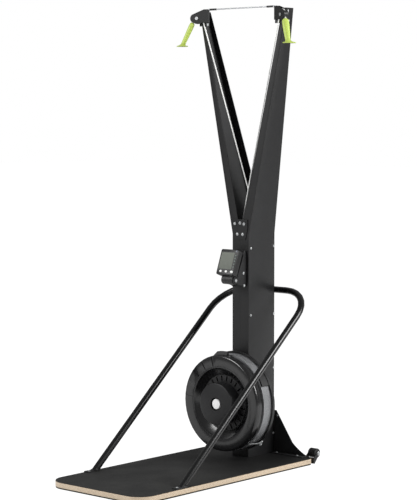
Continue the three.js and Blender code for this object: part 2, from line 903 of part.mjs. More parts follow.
function addHousing() {
  const shell = turned(
    [
      [bossBore, seatGap],
      [bossRadius, seatGap],
      [bossRadius, shellBack],
      [shellRadius - channelFold, shellBack],
      [shellRadius, shellBack + channelFold],
      [shellRadius, shellRimFront],
      [shellRadius - shellSheet, shellRimFront],
      [shellRadius - shellSheet, shellBack + shellSheet],
      [bossBore, shellBack + shellSheet],
      [bossBore, seatGap],
    ],
    "z",
    housingSegments,
  );
  add(housing, "back_shell", shell, blackPlastic());

  const bandBack = shellBack + shellSheet + seatGap;
  const bandInner = bandRadius - bandSheet;
  const lipBack = ventBandDepth - bandSheet;
  const band = turned(
    [
      [bandInner, bandBack],
      [bandRadius, bandBack],
      [bandRadius, ventBandDepth],
      [damperBore, ventBandDepth],
      [damperBore, lipBack],
      [bandInner, lipBack],
      [bandInner, bandBack],
    ],
    "z",
    housingSegments,
  );
  add(housing, "vent_band", band, finish(0x9a9b9d, 0.45, 0.6));

  const sensor = sector(
    bandRadius + seatGap,
    bandRadius + sensorHeight,
    sensorStart,
    sensorEnd,
    shellRimFront + sensorMargin,
    ventBandDepth - sensorMargin,
  );
  add(housing, "speed_sensor", sensor, blackPlastic());
}

function addDamperRing() {
  const damperBack = ventBandDepth + seatGap;
  const damper = turned(
    [
      [damperBore, damperBack],
      [damperNeckRadius, damperBack],
      [damperNeckRadius, damperNeckFront],
      [damperRadius - damperBevel, damperNeckFront],
      [damperRadius, damperNeckFront + damperBevel],
      [damperRadius, damperFront - seatGap - damperBevel],
      [damperRadius - damperBevel, damperFront - seatGap],
      [damperBore, damperFront - seatGap],
      [damperBore, damperBack],
    ],
    "z",
    housingSegments,
  );
  const root = damperRadius - channelFold;
  const outline = new THREE.Shape();
  outline.absarc(0, 0, damperTabRadius, damperTabStart, damperTabEnd, false);
  outline.lineTo(root * Math.cos(damperTabFoot), root * Math.sin(damperTabFoot));
  outline.absarc(0, 0, root, damperTabFoot, damperTabStart, true);
  const tab = slab(outline, damperFront - channelFold - damperTabBack).translate(0, 0, damperTabBack);
  add(housing, "damper_ring", damper.add(tab), blackPlastic());
}

function addFrontCover() {
  const lip = lipShares.map(([out, down]) => [coverOpening + out * coverLip, coverFront - down * coverLip]);
  const [lipRadius, lipFront] = lip.at(-1);
  const round = [0, 1, 2, 3].map((step) => {
    const angle = (step * Math.PI) / 6;
    return [
      damperRadius - coverRound * (1 - Math.cos(angle)),
      coverFront - coverRound * (1 - Math.sin(angle)),
    ];
  });
  const innerCorner = damperRadius - coverRound - coverSheet;
  let cover = turned(
    [
      [damperRadius - coverBevel, damperFront],
      [damperRadius, damperFront + coverBevel],
      ...round,
      ...lip,
      [funnelRadius, funnelBack + grilleSheet],
      [funnelRadius, funnelBack],
      [funnelRadius + funnelSheet, funnelBack],
      [lipRadius + funnelSheet, lipFront - funnelSheet],
      [coverOpening + coverLip, coverFront - coverSheet],
      [innerCorner, coverFront - coverSheet],
      [innerCorner, damperFront],
      [damperRadius - coverBevel, damperFront],
    ],
    "z",
    housingSegments,
  );
  notchShares.forEach((degrees) => {
    const angle = THREE.MathUtils.degToRad(degrees);
    const start = coverOpening + coverLip;
    const length = damperRadius - start + cutOverrun;
    const notch = new THREE.BoxGeometry(length, notchWidth, 2 * notchDepth);
    notch.translate(start + length / 2, 0, coverFront).rotateZ(angle);
    cover = cover.subtract(solid(notch));
  });
  add(housing, "front_cover", cover, blackPlastic());
}

function addGrille() {
  const outer = funnelRadius - seatGap;
  const drum = drumCoverRadius;
  const fillet = drumCoverFillet;
  const front = drumCoverFront;
  const wellFloor = front - capWellDepth;
  const wellOutside = capWellRadius + grilleSheet;
  let grille = turned(
    [
      [outer, funnelBack],
      [outer, funnelBack + grilleSheet],
      [drum, funnelBack + grilleSheet],
      [drum, front - fillet],
      [drum - fillet * (1 - Math.SQRT1_2), front - fillet * (1 - Math.SQRT1_2)],
      [drum - fillet, front],
      [capWellRadius, front],
      [capWellRadius, wellFloor],
      [capStubRadius + seatGap, wellFloor],
      [capStubRadius + seatGap, wellFloor - grilleSheet],
      [wellOutside, wellFloor - grilleSheet],
      [wellOutside, front - grilleSheet],
      [drum - fillet - grilleSheet / 2, front - grilleSheet],
      [drum - grilleSheet, front - fillet],
      [drum - grilleSheet, funnelBack],
      [outer, funnelBack],
    ],
    "z",
    housingSegments,
  );
  const slotLength = outer - drum - 2 * slotMargin;
  for (let i = 0; i < grilleSlots; i++) {
    const slot = new THREE.BoxGeometry(slotLength, slotWidth, 2 * cutOverrun);
    slot.translate(drum + slotMargin + slotLength / 2, 0, funnelBack - cutOverrun / 2);
    slot.rotateZ(((i + 0.5) / grilleSlots) * 2 * Math.PI);
    grille = grille.subtract(solid(slot));
  }
  add(housing, "grille", grille, blackPlastic());

  const capBack = wellFloor + seatGap;
  const cap = turned(
    [
      [0, capBack - capStubLength],
      [capStubRadius, capBack - capStubLength],
      [capStubRadius, capBack],
      [capRadius, capBack],
      [capRadius, capBack + capThickness - capCrown],
      [capRadius - capCrown, capBack + capThickness],
      [0, capBack + capThickness + capCrown],
    ],
    "z",
    32,
  );
  add(housing, "hub_cap", cap, finish(0xf4f4f4, 0.4, 0));
}

// Flywheel: a disc and hub with radial blades, on a shaft that runs back into the column
function addFlywheel() {
  const bore = shaftRadius + runGap;
  const discFront = wheelDiscBack + wheelDiscThickness;
  let wheel = turned(
    [
      [bore, wheelDiscBack],
      [wheelDiscRadius, wheelDiscBack],
      [wheelDiscRadius, discFront],
      [wheelHubRadius, discFront],
      [wheelHubRadius, bladeFront],
      [bore, bladeFront],
      [bore, wheelDiscBack],
    ],
    "z",
    housingSegments,
  );
  const bladeLength = bladeTip - bladeRoot;
  const bladeDepth = bladeFront - discFront + wheelDiscThickness / 2;
  for (let i = 0; i < bladeCount; i++) {
    const blade = new THREE.BoxGeometry(bladeLength, bladeThickness, bladeDepth);
    blade.translate(bladeRoot + bladeLength / 2, 0, bladeFront - bladeDepth / 2 - seatGap);
    blade.rotateZ((i / bladeCount) * 2 * Math.PI);
    wheel = wheel.add(solid(blade));
  }
  add(housing, "flywheel", wheel, greySteel());
  const shaftBack = channelSheet + 2 * seatGap - columnDepth;
  const shaft = turned(pinProfile(shaftRadius, shaftBack, shaftFront), "z", 24);
  add(housing, "flywheel_shaft", shaft, greySteel());
}

// Bearing blocks in the column, each with the case of the spring that winds a drum back
function addBearings() {
  const halfWidth = columnHalfWidth - channelSheet - seatGap;
  const bearing = turned(
    ring(shaftRadius + runGap, bearingRadius, seatGap, blockThickness - seatGap),
    "z",
    24,
  );
  const plate = box([-halfWidth, -blockHalfHeight, 0], [halfWidth, blockHalfHeight, blockThickness]);
  const springCase = turned(pinProfile(springCaseRadius, -springCaseDepth, blockThickness / 2), "z", 32);
  const seat = turned(pinProfile(bearingRadius + seatGap, 0, blockThickness + cutOverrun), "z", 24);
  const passage = turned(pinProfile(shaftNotchRadius, -springCaseDepth - cutOverrun, cutOverrun), "z", 24);
  const block = plate.add(springCase).subtract(seat).subtract(passage);
  const front = new THREE.Group();
  front.position.z = -channelSheet - seatGap - blockThickness;
  housing.add(front);
  const rear = new THREE.Group();
  rear.position.z = channelSheet + seatGap + blockThickness - columnDepth;
  rear.rotation.x = Math.PI;
  housing.add(rear);
  [
    ["front", front],
    ["rear", rear],
  ].forEach(([end, group]) => {
    add(group, end + "_bearing_block", block, blackSteel());
    add(group, end + "_bearing", bearing, greySteel());
  });
}

// Drums side by side on the shaft, one for each rope
function addDrums() {
  const half = drumWidth / 2;
  const inner = half - drumFlangeThickness;
  const wound = drumRopeRadius + ropeRadius;
  const drum = turned(
    [
      [shaftRadius + runGap, -half],
      [drumFlangeRadius, -half],
      [drumFlangeRadius, -inner],
      [wound, -inner],
      [wound, inner],
      [drumFlangeRadius, inner],
      [drumFlangeRadius, half],
      [shaftRadius + runGap, half],
      [shaftRadius + runGap, -half],
    ],
    "z",
    32,
  );
  sides.forEach(({ side }) => {
    add(housing, side + "_drum", drum, blackPlastic(), [0, 0, -drumDepths[side]]);
  });
}

// Rear brace plate: stands behind the column on the deck, with a flange forwards on each side of it
function addRearBrace() {
  const flare = (braceShoulderHalf + braceFootHalf) / 2;
  const shape = new THREE.Shape();
  shape.moveTo(-braceFootHalf, 0);
  shape.lineTo(braceFootHalf, 0);
  shape.lineTo(braceFootHalf, braceFootRise);
  shape.quadraticCurveTo(flare, braceShoulderRise / 3, braceShoulderHalf, braceShoulderRise);
  shape.lineTo(braceTopHalf, braceHeight);
  shape.lineTo(-braceTopHalf, braceHeight);
  shape.lineTo(-braceShoulderHalf, braceShoulderRise);
  shape.quadraticCurveTo(-flare, braceShoulderRise / 3, -braceFootHalf, braceFootRise);
  shape.lineTo(-braceFootHalf, 0);
  const stand = new THREE.Matrix4().makeRotationX(Math.PI / 2).setPosition(0, braceThickness, 0);
  let brace = solid(geometryOf(slab(shape, braceThickness, 6)).applyMatrix4(stand));
  sides.forEach(({ sign }) => {
    const ends = [sign * (columnHalfWidth + braceFlangeGap), sign * braceFootHalf];
    const flange = box(
      [Math.min(...ends), -braceFlangeDepth, 0],
      [Math.max(...ends), braceThickness, braceFlangeThickness],
    );
    brace = brace.add(flange);
  });
  add(skiTrainer, "rear_brace_plate", brace, blackSteel(), [0, columnRear + seatGap, deckTop + seatGap]);
}

// Hoop brace: one bent tube from deck edge to deck edge, round behind the column
const hoopFootY = deckFront + hoopFootSetback;
const hoopTopY = columnRear + hoopRadius + seatGap;
const hoopRun = hoopTopY - hoopFootY;
const hoopSlope = new THREE.Vector3(0, hoopRun, hoopRise).normalize();
const hoopLength = Math.hypot(hoopRun, hoopRise);

function hoopPath(overrun) {
  const at = (x, along) =>
    new THREE.Vector3(x, hoopFootY, deckTop).addScaledVector(hoopSlope, along);
  const bendStart = hoopLength - hoopBend;
  const bendMiddle = hoopHalfWidth - hoopBend;
  const bend = Array.from({ length: hoopBendSteps + 1 }, (_, i) => {
    const angle = (i / hoopBendSteps) * (Math.PI / 2);
    return [bendMiddle + hoopBend * Math.cos(angle), bendStart + hoopBend * Math.sin(angle)];
  });
  const right = [[hoopHalfWidth, -overrun], ...bend];
  const left = right.map(([x, along]) => [-x, along]).reverse();
  return [...right, ...left].map(([x, along]) => at(x, along));
}

function addHoop() {
  const tube = sweep(hoopPath(cutOverrun), hoopRadius, hoopSides);
  const bore = sweep(hoopPath(2 * cutOverrun), hoopRadius - hoopWall, hoopSides);
  const footTop = deckTop + seatGap + hoopFootThickness;
  const below = box(
    [-deckWidth, deckFront, -deckWidth],
    [deckWidth, deckRear, footTop + seatGap],
  );
  add(skiTrainer, "hoop_brace", tube.subtract(bore).subtract(below), blackSteel());

  const foot = box(
    [-hoopFootWidth / 2, -hoopFootLead, 0],
    [hoopFootWidth / 2, hoopFootLength - hoopFootLead, hoopFootThickness],
  );
  sides.forEach(({ side, sign }) => {
    const x = sign * (deckWidth / 2 - deckEdgeInset - hoopFootWidth / 2);
    const place = [x, hoopFootY, deckTop + seatGap];
    add(skiTrainer, side + "_hoop_foot", foot, blackSteel(), place);
  });
}

// Monitor bracket: a plate on the column and two gussets that carry the tilt pivot
const pivot = new THREE.Group();
pivot.position.set(0, columnFront - pivotAhead, pivotHeight);
skiTrainer.add(pivot);
const gussetInside = barrelHalfLength + 2 * seatGap;

function boltDrill(radius, half) {
  return turned(pinProfile(radius, -half, half), "x", 16);
}

function addMonitorBracket() {
  const back = pivotAhead - seatGap;
  const outer = gussetInside + bracketSheet;
  const nose = new THREE.Shape();
  nose.moveTo(back, -bracketBelowPivot);
  nose.lineTo(back, bracketAbovePivot);
  nose.lineTo(back - gussetTopDepth, bracketAbovePivot);
  nose.absarc(0, 0, gussetNose, Math.PI / 4, 1.6 * Math.PI, false);
  const gusset = geometryOf(slab(nose, bracketSheet)).applyMatrix4(sideOn);
  const right = solid(gusset.clone().translate(gussetInside, 0, 0));
  const left = solid(gusset.clone().translate(-outer, 0, 0));
  const plate = box(
    [-outer, back - bracketPlate, -bracketBelowPivot],
    [outer, back, bracketAbovePivot],
  );
  const drill = boltDrill(pivotBoltRadius + seatGap, outer + cutOverrun);
  add(pivot, "monitor_bracket", right.add(left).add(plate).subtract(drill), blackSteel());

  const headStart = outer + seatGap;
  const headEnd = headStart + pivotBoltHeadThickness;
  const bolt = turned(
    [
      [0, -headEnd],
      [pivotBoltHead, -headEnd],
      [pivotBoltHead, -headStart],
      [pivotBoltRadius, -headStart],
      [pivotBoltRadius, headStart],
      [pivotBoltHead, headStart],
      [pivotBoltHead, headEnd],
      [0, headEnd],
    ],
    "x",
    16,
  );
  add(pivot, "pivot_bolt", bolt, greySteel());
}

// Monitor: leans back on the pivot; in its own frame +Z runs up the case and -Y is the face
const monitor = new THREE.Group();
monitor.rotation.x = -monitorTilt;
pivot.add(monitor);
const standUp = new THREE.Matrix4().makeRotationX(Math.PI / 2);

// An outline drawn on the face, given a depth that starts behind the face
function faceSlab(outline, start, depth) {
  const geometry = geometryOf(slab(outline, depth, 6)).applyMatrix4(standUp);
  return solid(geometry.translate(0, start + depth - monitorFace, 0));
}

function roundedRectangle(left, right, bottom, top, radius) {
  const outline = new THREE.Shape();
  outline.absarc(right - radius, bottom + radius, radius, -Math.PI / 2, 0, false);
  outline.absarc(right - radius, top - radius, radius, 0, Math.PI / 2, false);
  outline.absarc(left + radius, top - radius, radius, Math.PI / 2, Math.PI, false);
  outline.absarc(left + radius, bottom + radius, radius, Math.PI, 1.5 * Math.PI, false);
  return outline;
}

function ovalAt(x, z, halfX, halfZ) {
  const outline = new THREE.Shape();
  outline.absellipse(x, z, halfX, halfZ, 0, 2 * Math.PI, false, 0);
  return outline;
}

// Name, place and half sizes of each key on the face
const faceKeys = [-1, 0, 1].map((step, i) => ({
  name: "key_" + (i + 1),
  x: keyShift + step * keyPitch,
  z: monitorRise + keyRise,
  halfX: keyHalfWidth,
  halfZ: keyHalfHeight,
}));
const sideKeys = Array.from({ length: sideKeyCount }, (_, i) => ({
  name: "side_key_" + (i + 1),
  x: sideKeyX,
  z: monitorRise + sideKeyRise + i * sideKeyPitch,
  halfX: sideKeyRadius,
  halfZ: sideKeyRadius,
}));

function addMonitor() {
  const half = monitorWidth / 2;
  const top = monitorRise + monitorHeight;
  const bevel = monitorBevel;
  const outline = roundedRectangle(
    bevel - half,
    half - bevel,
    monitorRise + bevel,
    top - bevel,
    monitorCorner - bevel,
  );
  const caseGeometry = new THREE.ExtrudeGeometry(outline, {
    depth: monitorDepth - 2 * bevel,
    bevelThickness: bevel,
    bevelSize: bevel,
    bevelSegments: 2,
    curveSegments: 4,
  });
  caseGeometry.applyMatrix4(standUp).translate(0, monitorDepth - bevel - monitorFace, 0);
  let body = solid(caseGeometry);
  const displayZ = monitorRise + displayBottom;
  const opening = roundedRectangle(
    -displayLeft - seatGap,
    displayRight + seatGap,
    displayZ - seatGap,
    displayZ + displayHeight + seatGap,
    bevel,
  );
  const pocketDepth = displayThickness + seatGap;
  body = body.subtract(faceSlab(opening, -cutOverrun, cutOverrun + pocketDepth));
  [...faceKeys, ...sideKeys].forEach(({ x, z, halfX, halfZ }) => {
    const pocket = ovalAt(x, z, halfX + runGap, halfZ + runGap);
    body = body.subtract(faceSlab(pocket, -cutOverrun, cutOverrun + keyPocket));
  });
  add(monitor, "monitor_case", body, blackPlastic());

  const pane = roundedRectangle(-displayLeft, displayRight, displayZ, displayZ + displayHeight, bevel);
  add(monitor, "display", faceSlab(pane, 0, displayThickness), finish(0x7d827a, 0.25, 0));
  faceKeys.forEach(({ name, x, z, halfX, halfZ }) => {
    const key = faceSlab(ovalAt(x, z, halfX, halfZ), -keyProud, keyLength + keyProud);
    add(monitor, name, key, finish(0xf0f0ee, 0.5, 0));
  });
  sideKeys.forEach(({ name, x, z, halfX, halfZ }) => {
    const key = faceSlab(ovalAt(x, z, halfX, halfZ), -keyProud / 2, keyLength + keyProud / 2);
    add(monitor, name, key, finish(0x59625d, 0.5, 0));
  });

  const barrel = turned(pinProfile(barrelRadius, -barrelHalfLength, barrelHalfLength), "x", 28);
  const neck = box(
    [-barrelHalfLength, -neckReach, 0],
    [barrelHalfLength, monitorDepth - monitorFace - monitorBevel, monitorRise - seatGap],
  );
  const above = box(
    [-monitorWidth, -monitorFace, monitorRise - seatGap],
    [monitorWidth, monitorFace, monitorRise + barrelRadius],
  );
  const drill = boltDrill(pivotBoltRadius + runGap, barrelHalfLength + cutOverrun);
  const block = barrel.add(neck).subtract(above).subtract(drill);
  add(monitor, "pivot_block", block, blackPlastic());
}

// Transport wheels: each on an axle between two ears behind the deck's rear corner
function addTransportWheels() {
  const half = wheelWidth / 2;
  const wheel = turned(
    [
      [wheelAxleRadius + runGap, -half],
      [wheelRadius - wheelEdge, -half],
      [wheelRadius, -half + wheelEdge],
      [wheelRadius, half - wheelEdge],
      [wheelRadius - wheelEdge, half],
      [wheelAxleRadius + runGap, half],
      [wheelAxleRadius + runGap, -half],
    ],
    "x",
    28,
  );
  const earInside = half + earGap;
  const earOutside = earInside + earThickness;
  const plateBack = seatGap + wheelPlateThickness - wheelSetback;
  const plateBottom = wheelPlateBottom - wheelHeight;
  const plateTop = deckTop - wheelHeight;
  const earShape = new THREE.Shape();
  earShape.moveTo(seatGap - wheelSetback, plateBottom);
  earShape.lineTo(plateBack, plateBottom);
  earShape.absarc(0, 0, earReach, -Math.PI / 4, 0.75 * Math.PI, false);
  earShape.lineTo(seatGap - wheelSetback, plateTop);
  const ear = geometryOf(slab(earShape, earThickness)).applyMatrix4(sideOn);
  const plate = box(
    [-earOutside, seatGap - wheelSetback, plateBottom],
    [earOutside, plateBack, plateTop],
  );
  const axle = boltDrill(wheelAxleRadius, earInside + earThickness / 2);
  const bracket = plate
    .add(solid(ear.clone().translate(earInside, 0, 0)))
    .add(solid(ear.clone().translate(-earOutside, 0, 0)))
    .add(axle);
  sides.forEach(({ side, sign }) => {
    const group = new THREE.Group();
    group.position.set(sign * wheelOffset, deckRear + wheelSetback, wheelHeight);
    skiTrainer.add(group);
    add(group, side + "_wheel_bracket", bracket, blackSteel());
    add(group, side + "_wheel", wheel, finish(0x1a1a1a, 0.8, 0));
  });
}

addPlatform();
addUprights();
addJointPlates();
addGuideSheaves();
addHeads();
addTieRod();
addRopes();
addHandles();
addHousing();
addDamperRing();
addFrontCover();
addGrille();
addFlywheel();
addBearings();
addDrums();
addRearBrace();
addHoop();
addMonitorBracket();
addMonitor();
addTransportWheels();

export default skiTrainer;
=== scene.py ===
import math

import bmesh
import bpy
from mathutils import Matrix, Vector


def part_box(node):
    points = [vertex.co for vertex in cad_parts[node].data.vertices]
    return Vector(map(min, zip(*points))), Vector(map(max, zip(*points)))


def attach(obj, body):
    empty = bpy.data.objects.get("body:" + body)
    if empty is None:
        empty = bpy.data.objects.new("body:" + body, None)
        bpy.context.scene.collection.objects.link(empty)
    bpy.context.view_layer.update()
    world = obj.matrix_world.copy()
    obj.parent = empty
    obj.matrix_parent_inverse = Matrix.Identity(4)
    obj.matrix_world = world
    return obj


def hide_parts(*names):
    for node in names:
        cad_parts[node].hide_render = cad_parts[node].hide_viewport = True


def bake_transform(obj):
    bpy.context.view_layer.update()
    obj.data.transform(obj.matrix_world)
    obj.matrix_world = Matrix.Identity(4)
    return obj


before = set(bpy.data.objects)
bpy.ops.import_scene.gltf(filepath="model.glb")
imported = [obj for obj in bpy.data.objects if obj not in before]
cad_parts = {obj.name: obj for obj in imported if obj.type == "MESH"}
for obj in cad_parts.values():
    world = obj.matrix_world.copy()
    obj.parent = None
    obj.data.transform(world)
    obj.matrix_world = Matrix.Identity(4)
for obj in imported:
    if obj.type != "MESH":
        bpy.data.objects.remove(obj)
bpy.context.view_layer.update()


# Camera: at eye level, to the right of the machine and ahead of it, on a long lens.
camera_data = bpy.data.cameras.new("camera")
camera_data.sensor_width = 36
camera_data.lens = 126.9
camera_pitch, camera_turn = math.radians(85.6), math.radians(41.6)
camera = bpy.data.objects.new("camera", camera_data)
camera.location = (5.5204, -6.0765, 1.6928)
camera.rotation_euler = (camera_pitch, 0, camera_turn)
bpy.context.collection.objects.link(camera)
bpy.context.scene.camera = camera


# Studio: a pale floor, an even white surround and two large soft lamps.
# The floor keeps the machine's soft shadow, and what the camera sees of the surround is white.
def tint(red, green, blue):
    """A colour given in 0 to 255 steps, as a linear colour with alpha."""

    def linear(step):
        share = step / 255
        if share <= 0.04045:
            return share / 12.92
        return ((share + 0.055) / 1.055) ** 2.4

    return (linear(red), linear(green), linear(blue), 1)


floor_half = 40
surround_strength = 0.34
floor_glow, floor_glow_share = 1.19, 0.8
bpy.ops.mesh.primitive_plane_add(size=2 * floor_half)
floor = bpy.context.object
floor.name = "floor"
floor_material = bpy.data.materials.new("pale floor")
floor_material.use_nodes = True
floor_nodes = floor_material.node_tree.nodes
floor_nodes["Principled BSDF"].inputs["Base Color"].default_value = (0.95, 0.95, 0.95, 1)
floor_nodes["Principled BSDF"].inputs["Roughness"].default_value = 0.9
floor_nodes["Principled BSDF"].inputs["Specular IOR Level"].default_value = 0.1
floor_links = floor_material.node_tree.links
floor_white = floor_nodes.new("ShaderNodeEmission")
floor_white.inputs["Strength"].default_value = floor_glow
floor_seen = floor_nodes.new("ShaderNodeLightPath")
floor_share = floor_nodes.new("ShaderNodeMath")
floor_share.operation = "MULTIPLY"
floor_share.inputs[1].default_value = floor_glow_share
floor_mix = floor_nodes.new("ShaderNodeMixShader")
floor_links.new(floor_seen.outputs["Is Camera Ray"], floor_share.inputs[0])
floor_links.new(floor_share.outputs["Value"], floor_mix.inputs["Fac"])
floor_links.new(floor_nodes["Principled BSDF"].outputs["BSDF"], floor_mix.inputs[1])
floor_links.new(floor_white.outputs["Emission"], floor_mix.inputs[2])
floor_links.new(floor_mix.outputs["Shader"], floor_nodes["Material Output"].inputs["Surface"])
floor.data.materials.append(floor_material)

world = bpy.data.worlds.new("studio")
bpy.context.scene.world = world
world.use_nodes = True
world_tree = world.node_tree
background = world_tree.nodes["Background"]
seen = world_tree.nodes.new("ShaderNodeLightPath")
strength = world_tree.nodes.new("ShaderNodeMapRange")
strength.inputs["To Min"].default_value = surround_strength
strength.inputs["To Max"].default_value = 1
world_tree.links.new(seen.outputs["Is Camera Ray"], strength.inputs["Value"])
world_tree.links.new(strength.outputs["Result"], background.inputs["Strength"])
background.inputs["Color"].default_value = (1, 1, 1, 1)


def soft_lamp(name, place, target, size, power):
    """A large square lamp at a place, turned towards a target."""
    data = bpy.data.lights.new(name, "AREA")
    data.shape = "SQUARE"
    data.size = size
    data.energy = power
    lamp = bpy.data.objects.new(name, data)
    lamp.location = place
    aim = Vector(target) - Vector(place)
    lamp.rotation_euler = aim.to_track_quat("-Z", "Y").to_euler()
    bpy.context.collection.objects.link(lamp)


lamp_size = 2.6
soft_lamp("key", place=(4.6, 2.2, 3.4), target=(0, 0.3, 0.7), size=lamp_size, power=330)
soft_lamp("fill", place=(-2.2, -4.4, 3.8), target=(0, 0, 0.6), size=lamp_size, power=230)

view = bpy.context.scene.view_settings
view.view_transform = "Standard"


# Frame steel: folded and cut sheet with a satin black powder coat.
# The coat has a fine orange-peel texture and slight changes of gloss where it is handled. The
# brace plate, the hoop's feet and the wheel brackets have a rougher copy of it, lighter in colour
# as painted light on these low, shaded pieces.
def node_group(name, inputs, outputs):
    """A shader node group with named sockets; returns the tree and its two end nodes."""
    tree = bpy.data.node_groups.new(name, "ShaderNodeTree")
    kinds = {"value": "NodeSocketFloat", "colour": "NodeSocketColor", "vector": "NodeSocketVector"}
    for label, kind in inputs:
        tree.interface.new_socket(name=label, in_out="INPUT", socket_type=kinds[kind])
    for label, kind in outputs:
        tree.interface.new_socket(name=label, in_out="OUTPUT", socket_type=kinds[kind])
    return tree, tree.nodes.new("NodeGroupInput"), tree.nodes.new("NodeGroupOutput")


def noise(tree, vector, scale, detail=4):
    """A noise texture on a vector; scale is a number or a socket."""
    made = tree.nodes.new("ShaderNodeTexNoise")
    made.inputs["Detail"].default_value = detail
    tree.links.new(vector, made.inputs["Vector"])
    if isinstance(scale, (int, float)):
        made.inputs["Scale"].default_value = scale
    else:
        tree.links.new(scale, made.inputs["Scale"])
    return made.outputs["Fac"]


def maths(tree, operation, *values):
    """A Math node; each value is a number or a socket."""
    made = tree.nodes.new("ShaderNodeMath")
    made.operation = operation
    for slot, value in zip(made.inputs, values):
        if isinstance(value, (int, float)):
            slot.default_value = value
        else:
            tree.links.new(value, slot)
    return made.outputs["Value"]


def scaled_colour(tree, colour, factor):
    """A colour made lighter or darker by a factor."""
    made = tree.nodes.new("ShaderNodeVectorMath")
    made.operation = "SCALE"
    tree.links.new(colour, made.inputs["Vector"])
    tree.links.new(factor, made.inputs["Scale"])
    return made.outputs["Vector"]


grain_tree, grain_in, grain_out = node_group(
    "surface grain",
    [
        ("Colour", "colour"),
        ("Colour change", "value"),
        ("Roughness", "value"),
        ("Roughness change", "value"),
        ("Scale", "value"),
        ("Patch scale", "value"),
        ("Depth", "value"),
    ],
    [("Colour", "colour"), ("Roughness", "value"), ("Normal", "vector")],
)
grain_place = grain_tree.nodes.new("ShaderNodeTexCoord").outputs["Object"]
grain_fine = noise(grain_tree, grain_place, grain_in.outputs["Scale"])
grain_patch = noise(grain_tree, grain_place, grain_in.outputs["Patch scale"], detail=6)
fine_swing = maths(grain_tree, "SUBTRACT", grain_fine, 0.5)
patch_swing = maths(grain_tree, "SUBTRACT", grain_patch, 0.5)
both_swing = maths(grain_tree, "ADD", fine_swing, patch_swing)
colour_factor = maths(grain_tree, "MULTIPLY_ADD", both_swing, grain_in.outputs["Colour change"], 1)
grain_tree.links.new(
    scaled_colour(grain_tree, grain_in.outputs["Colour"], colour_factor),
    grain_out.inputs["Colour"],
)
rough_swing = maths(
    grain_tree, "MULTIPLY_ADD", patch_swing, grain_in.outputs["Roughness change"], grain_in.outputs["Roughness"]
)
grain_tree.links.new(rough_swing, grain_out.inputs["Roughness"])
grain_bump = grain_tree.nodes.new("ShaderNodeBump")
grain_tree.links.new(grain_in.outputs["Depth"], grain_bump.inputs["Distance"])
grain_tree.links.new(grain_fine, grain_bump.inputs["Height"])
grain_tree.links.new(grain_bump.outputs["Normal"], grain_out.inputs["Normal"])


def grained(name, colour, roughness, metallic=0.0, colour_change=0.25, roughness_change=0.15,
            scale=900, patch_scale=9, depth=0.0001, coat=0.0, specular=0.5):
    """A material whose colour, roughness and surface vary through the surface grain group."""
    made = bpy.data.materials.new(name)
    made.use_nodes = True
    tree = made.node_tree
    shader = tree.nodes["Principled BSDF"]
    shader.inputs["Metallic"].default_value = metallic
    shader.inputs["Specular IOR Level"].default_value = specular
    shader.inputs["Coat Weight"].default_value = coat
    shader.inputs["Coat Roughness"].default_value = 0.2
    group = tree.nodes.new("ShaderNodeGroup")
    group.node_tree = grain_tree
    for label, value in (
        ("Colour", colour),
        ("Colour change", colour_change),
        ("Roughness", roughness),
        ("Roughness change", roughness_change),
        ("Scale", scale),
        ("Patch scale", patch_scale),
        ("Depth", depth),
    ):
        group.inputs[label].default_value = value
    tree.links.new(group.outputs["Colour"], shader.inputs["Base Color"])
    tree.links.new(group.outputs["Roughness"], shader.inputs["Roughness"])
    tree.links.new(group.outputs["Normal"], shader.inputs["Normal"])
    return made


SHARP_DEGREES = 32
weld_distance = 0.00001
rounding_tree = bpy.data.node_groups.new("round shading", "GeometryNodeTree")
rounding_tree.interface.new_socket(name="Geometry", in_out="INPUT", socket_type="NodeSocketGeometry")
rounding_tree.interface.new_socket(name="Geometry", in_out="OUTPUT", socket_type="NodeSocketGeometry")


def build_round_shading():
    """Merges a node's loose triangles, then shades them round except across sharp edges."""
    tree = rounding_tree
    start = tree.nodes.new("NodeGroupInput")
    end = tree.nodes.new("NodeGroupOutput")
    weld = tree.nodes.new("GeometryNodeMergeByDistance")
    weld.inputs["Distance"].default_value = weld_distance
    round_faces = tree.nodes.new("GeometryNodeSetShadeSmooth")
    round_faces.domain = "FACE"
    sharp_edges = tree.nodes.new("GeometryNodeSetShadeSmooth")
    sharp_edges.domain = "EDGE"
    sharp_edges.inputs["Shade Smooth"].default_value = False
    angle = tree.nodes.new("GeometryNodeInputMeshEdgeAngle")
    over = tree.nodes.new("FunctionNodeCompare")
    over.data_type = "FLOAT"
    over.operation = "GREATER_THAN"
    over.inputs["B"].default_value = math.radians(SHARP_DEGREES)
    tree.links.new(start.outputs["Geometry"], weld.inputs["Geometry"])
    tree.links.new(weld.outputs["Geometry"], round_faces.inputs["Geometry"])
    tree.links.new(round_faces.outputs["Geometry"], sharp_edges.inputs["Geometry"])
    tree.links.new(angle.outputs["Unsigned Angle"], over.inputs["A"])
    tree.links.new(over.outputs["Result"], sharp_edges.inputs["Selection"])
    tree.links.new(sharp_edges.outputs["Geometry"], end.inputs["Geometry"])


build_round_shading()


def dress(material, *names):
    """Gives CAD nodes a material and round shading."""
    for name in names:
        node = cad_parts[name]
        node.data.materials.clear()
        node.data.materials.append(material)
        modifier = node.modifiers.new("round shading", "NODES")
        modifier.node_group = rounding_tree


powder_coat = grained(
    "black powder coat", tint(20, 20, 21), 0.42, colour_change=0.12, scale=700, patch_scale=5, depth=0.00012,
    specular=0.35,
)
dress(
    powder_coat,
    "left_upright", "right_upright", "joint_plate", "rear_joint_plate",
    "left_head_bracket", "right_head_bracket", "monitor_bracket", "front_bearing_block", "rear_bearing_block",
)
# Painted light: this copy of the powder coat is lighter in colour than the coat itself, to lift the shade on
# these low pieces.
painted_light_coat = grained(
    "powder coat with painted light", tint(38, 38, 39), 0.5, colour_change=0.2, scale=700, patch_scale=7, depth=0.00012,
    specular=0.25,
)
dress(
    painted_light_coat,
    "rear_brace_plate", "left_hoop_foot", "right_hoop_foot", "left_wheel_bracket", "right_wheel_bracket",
)
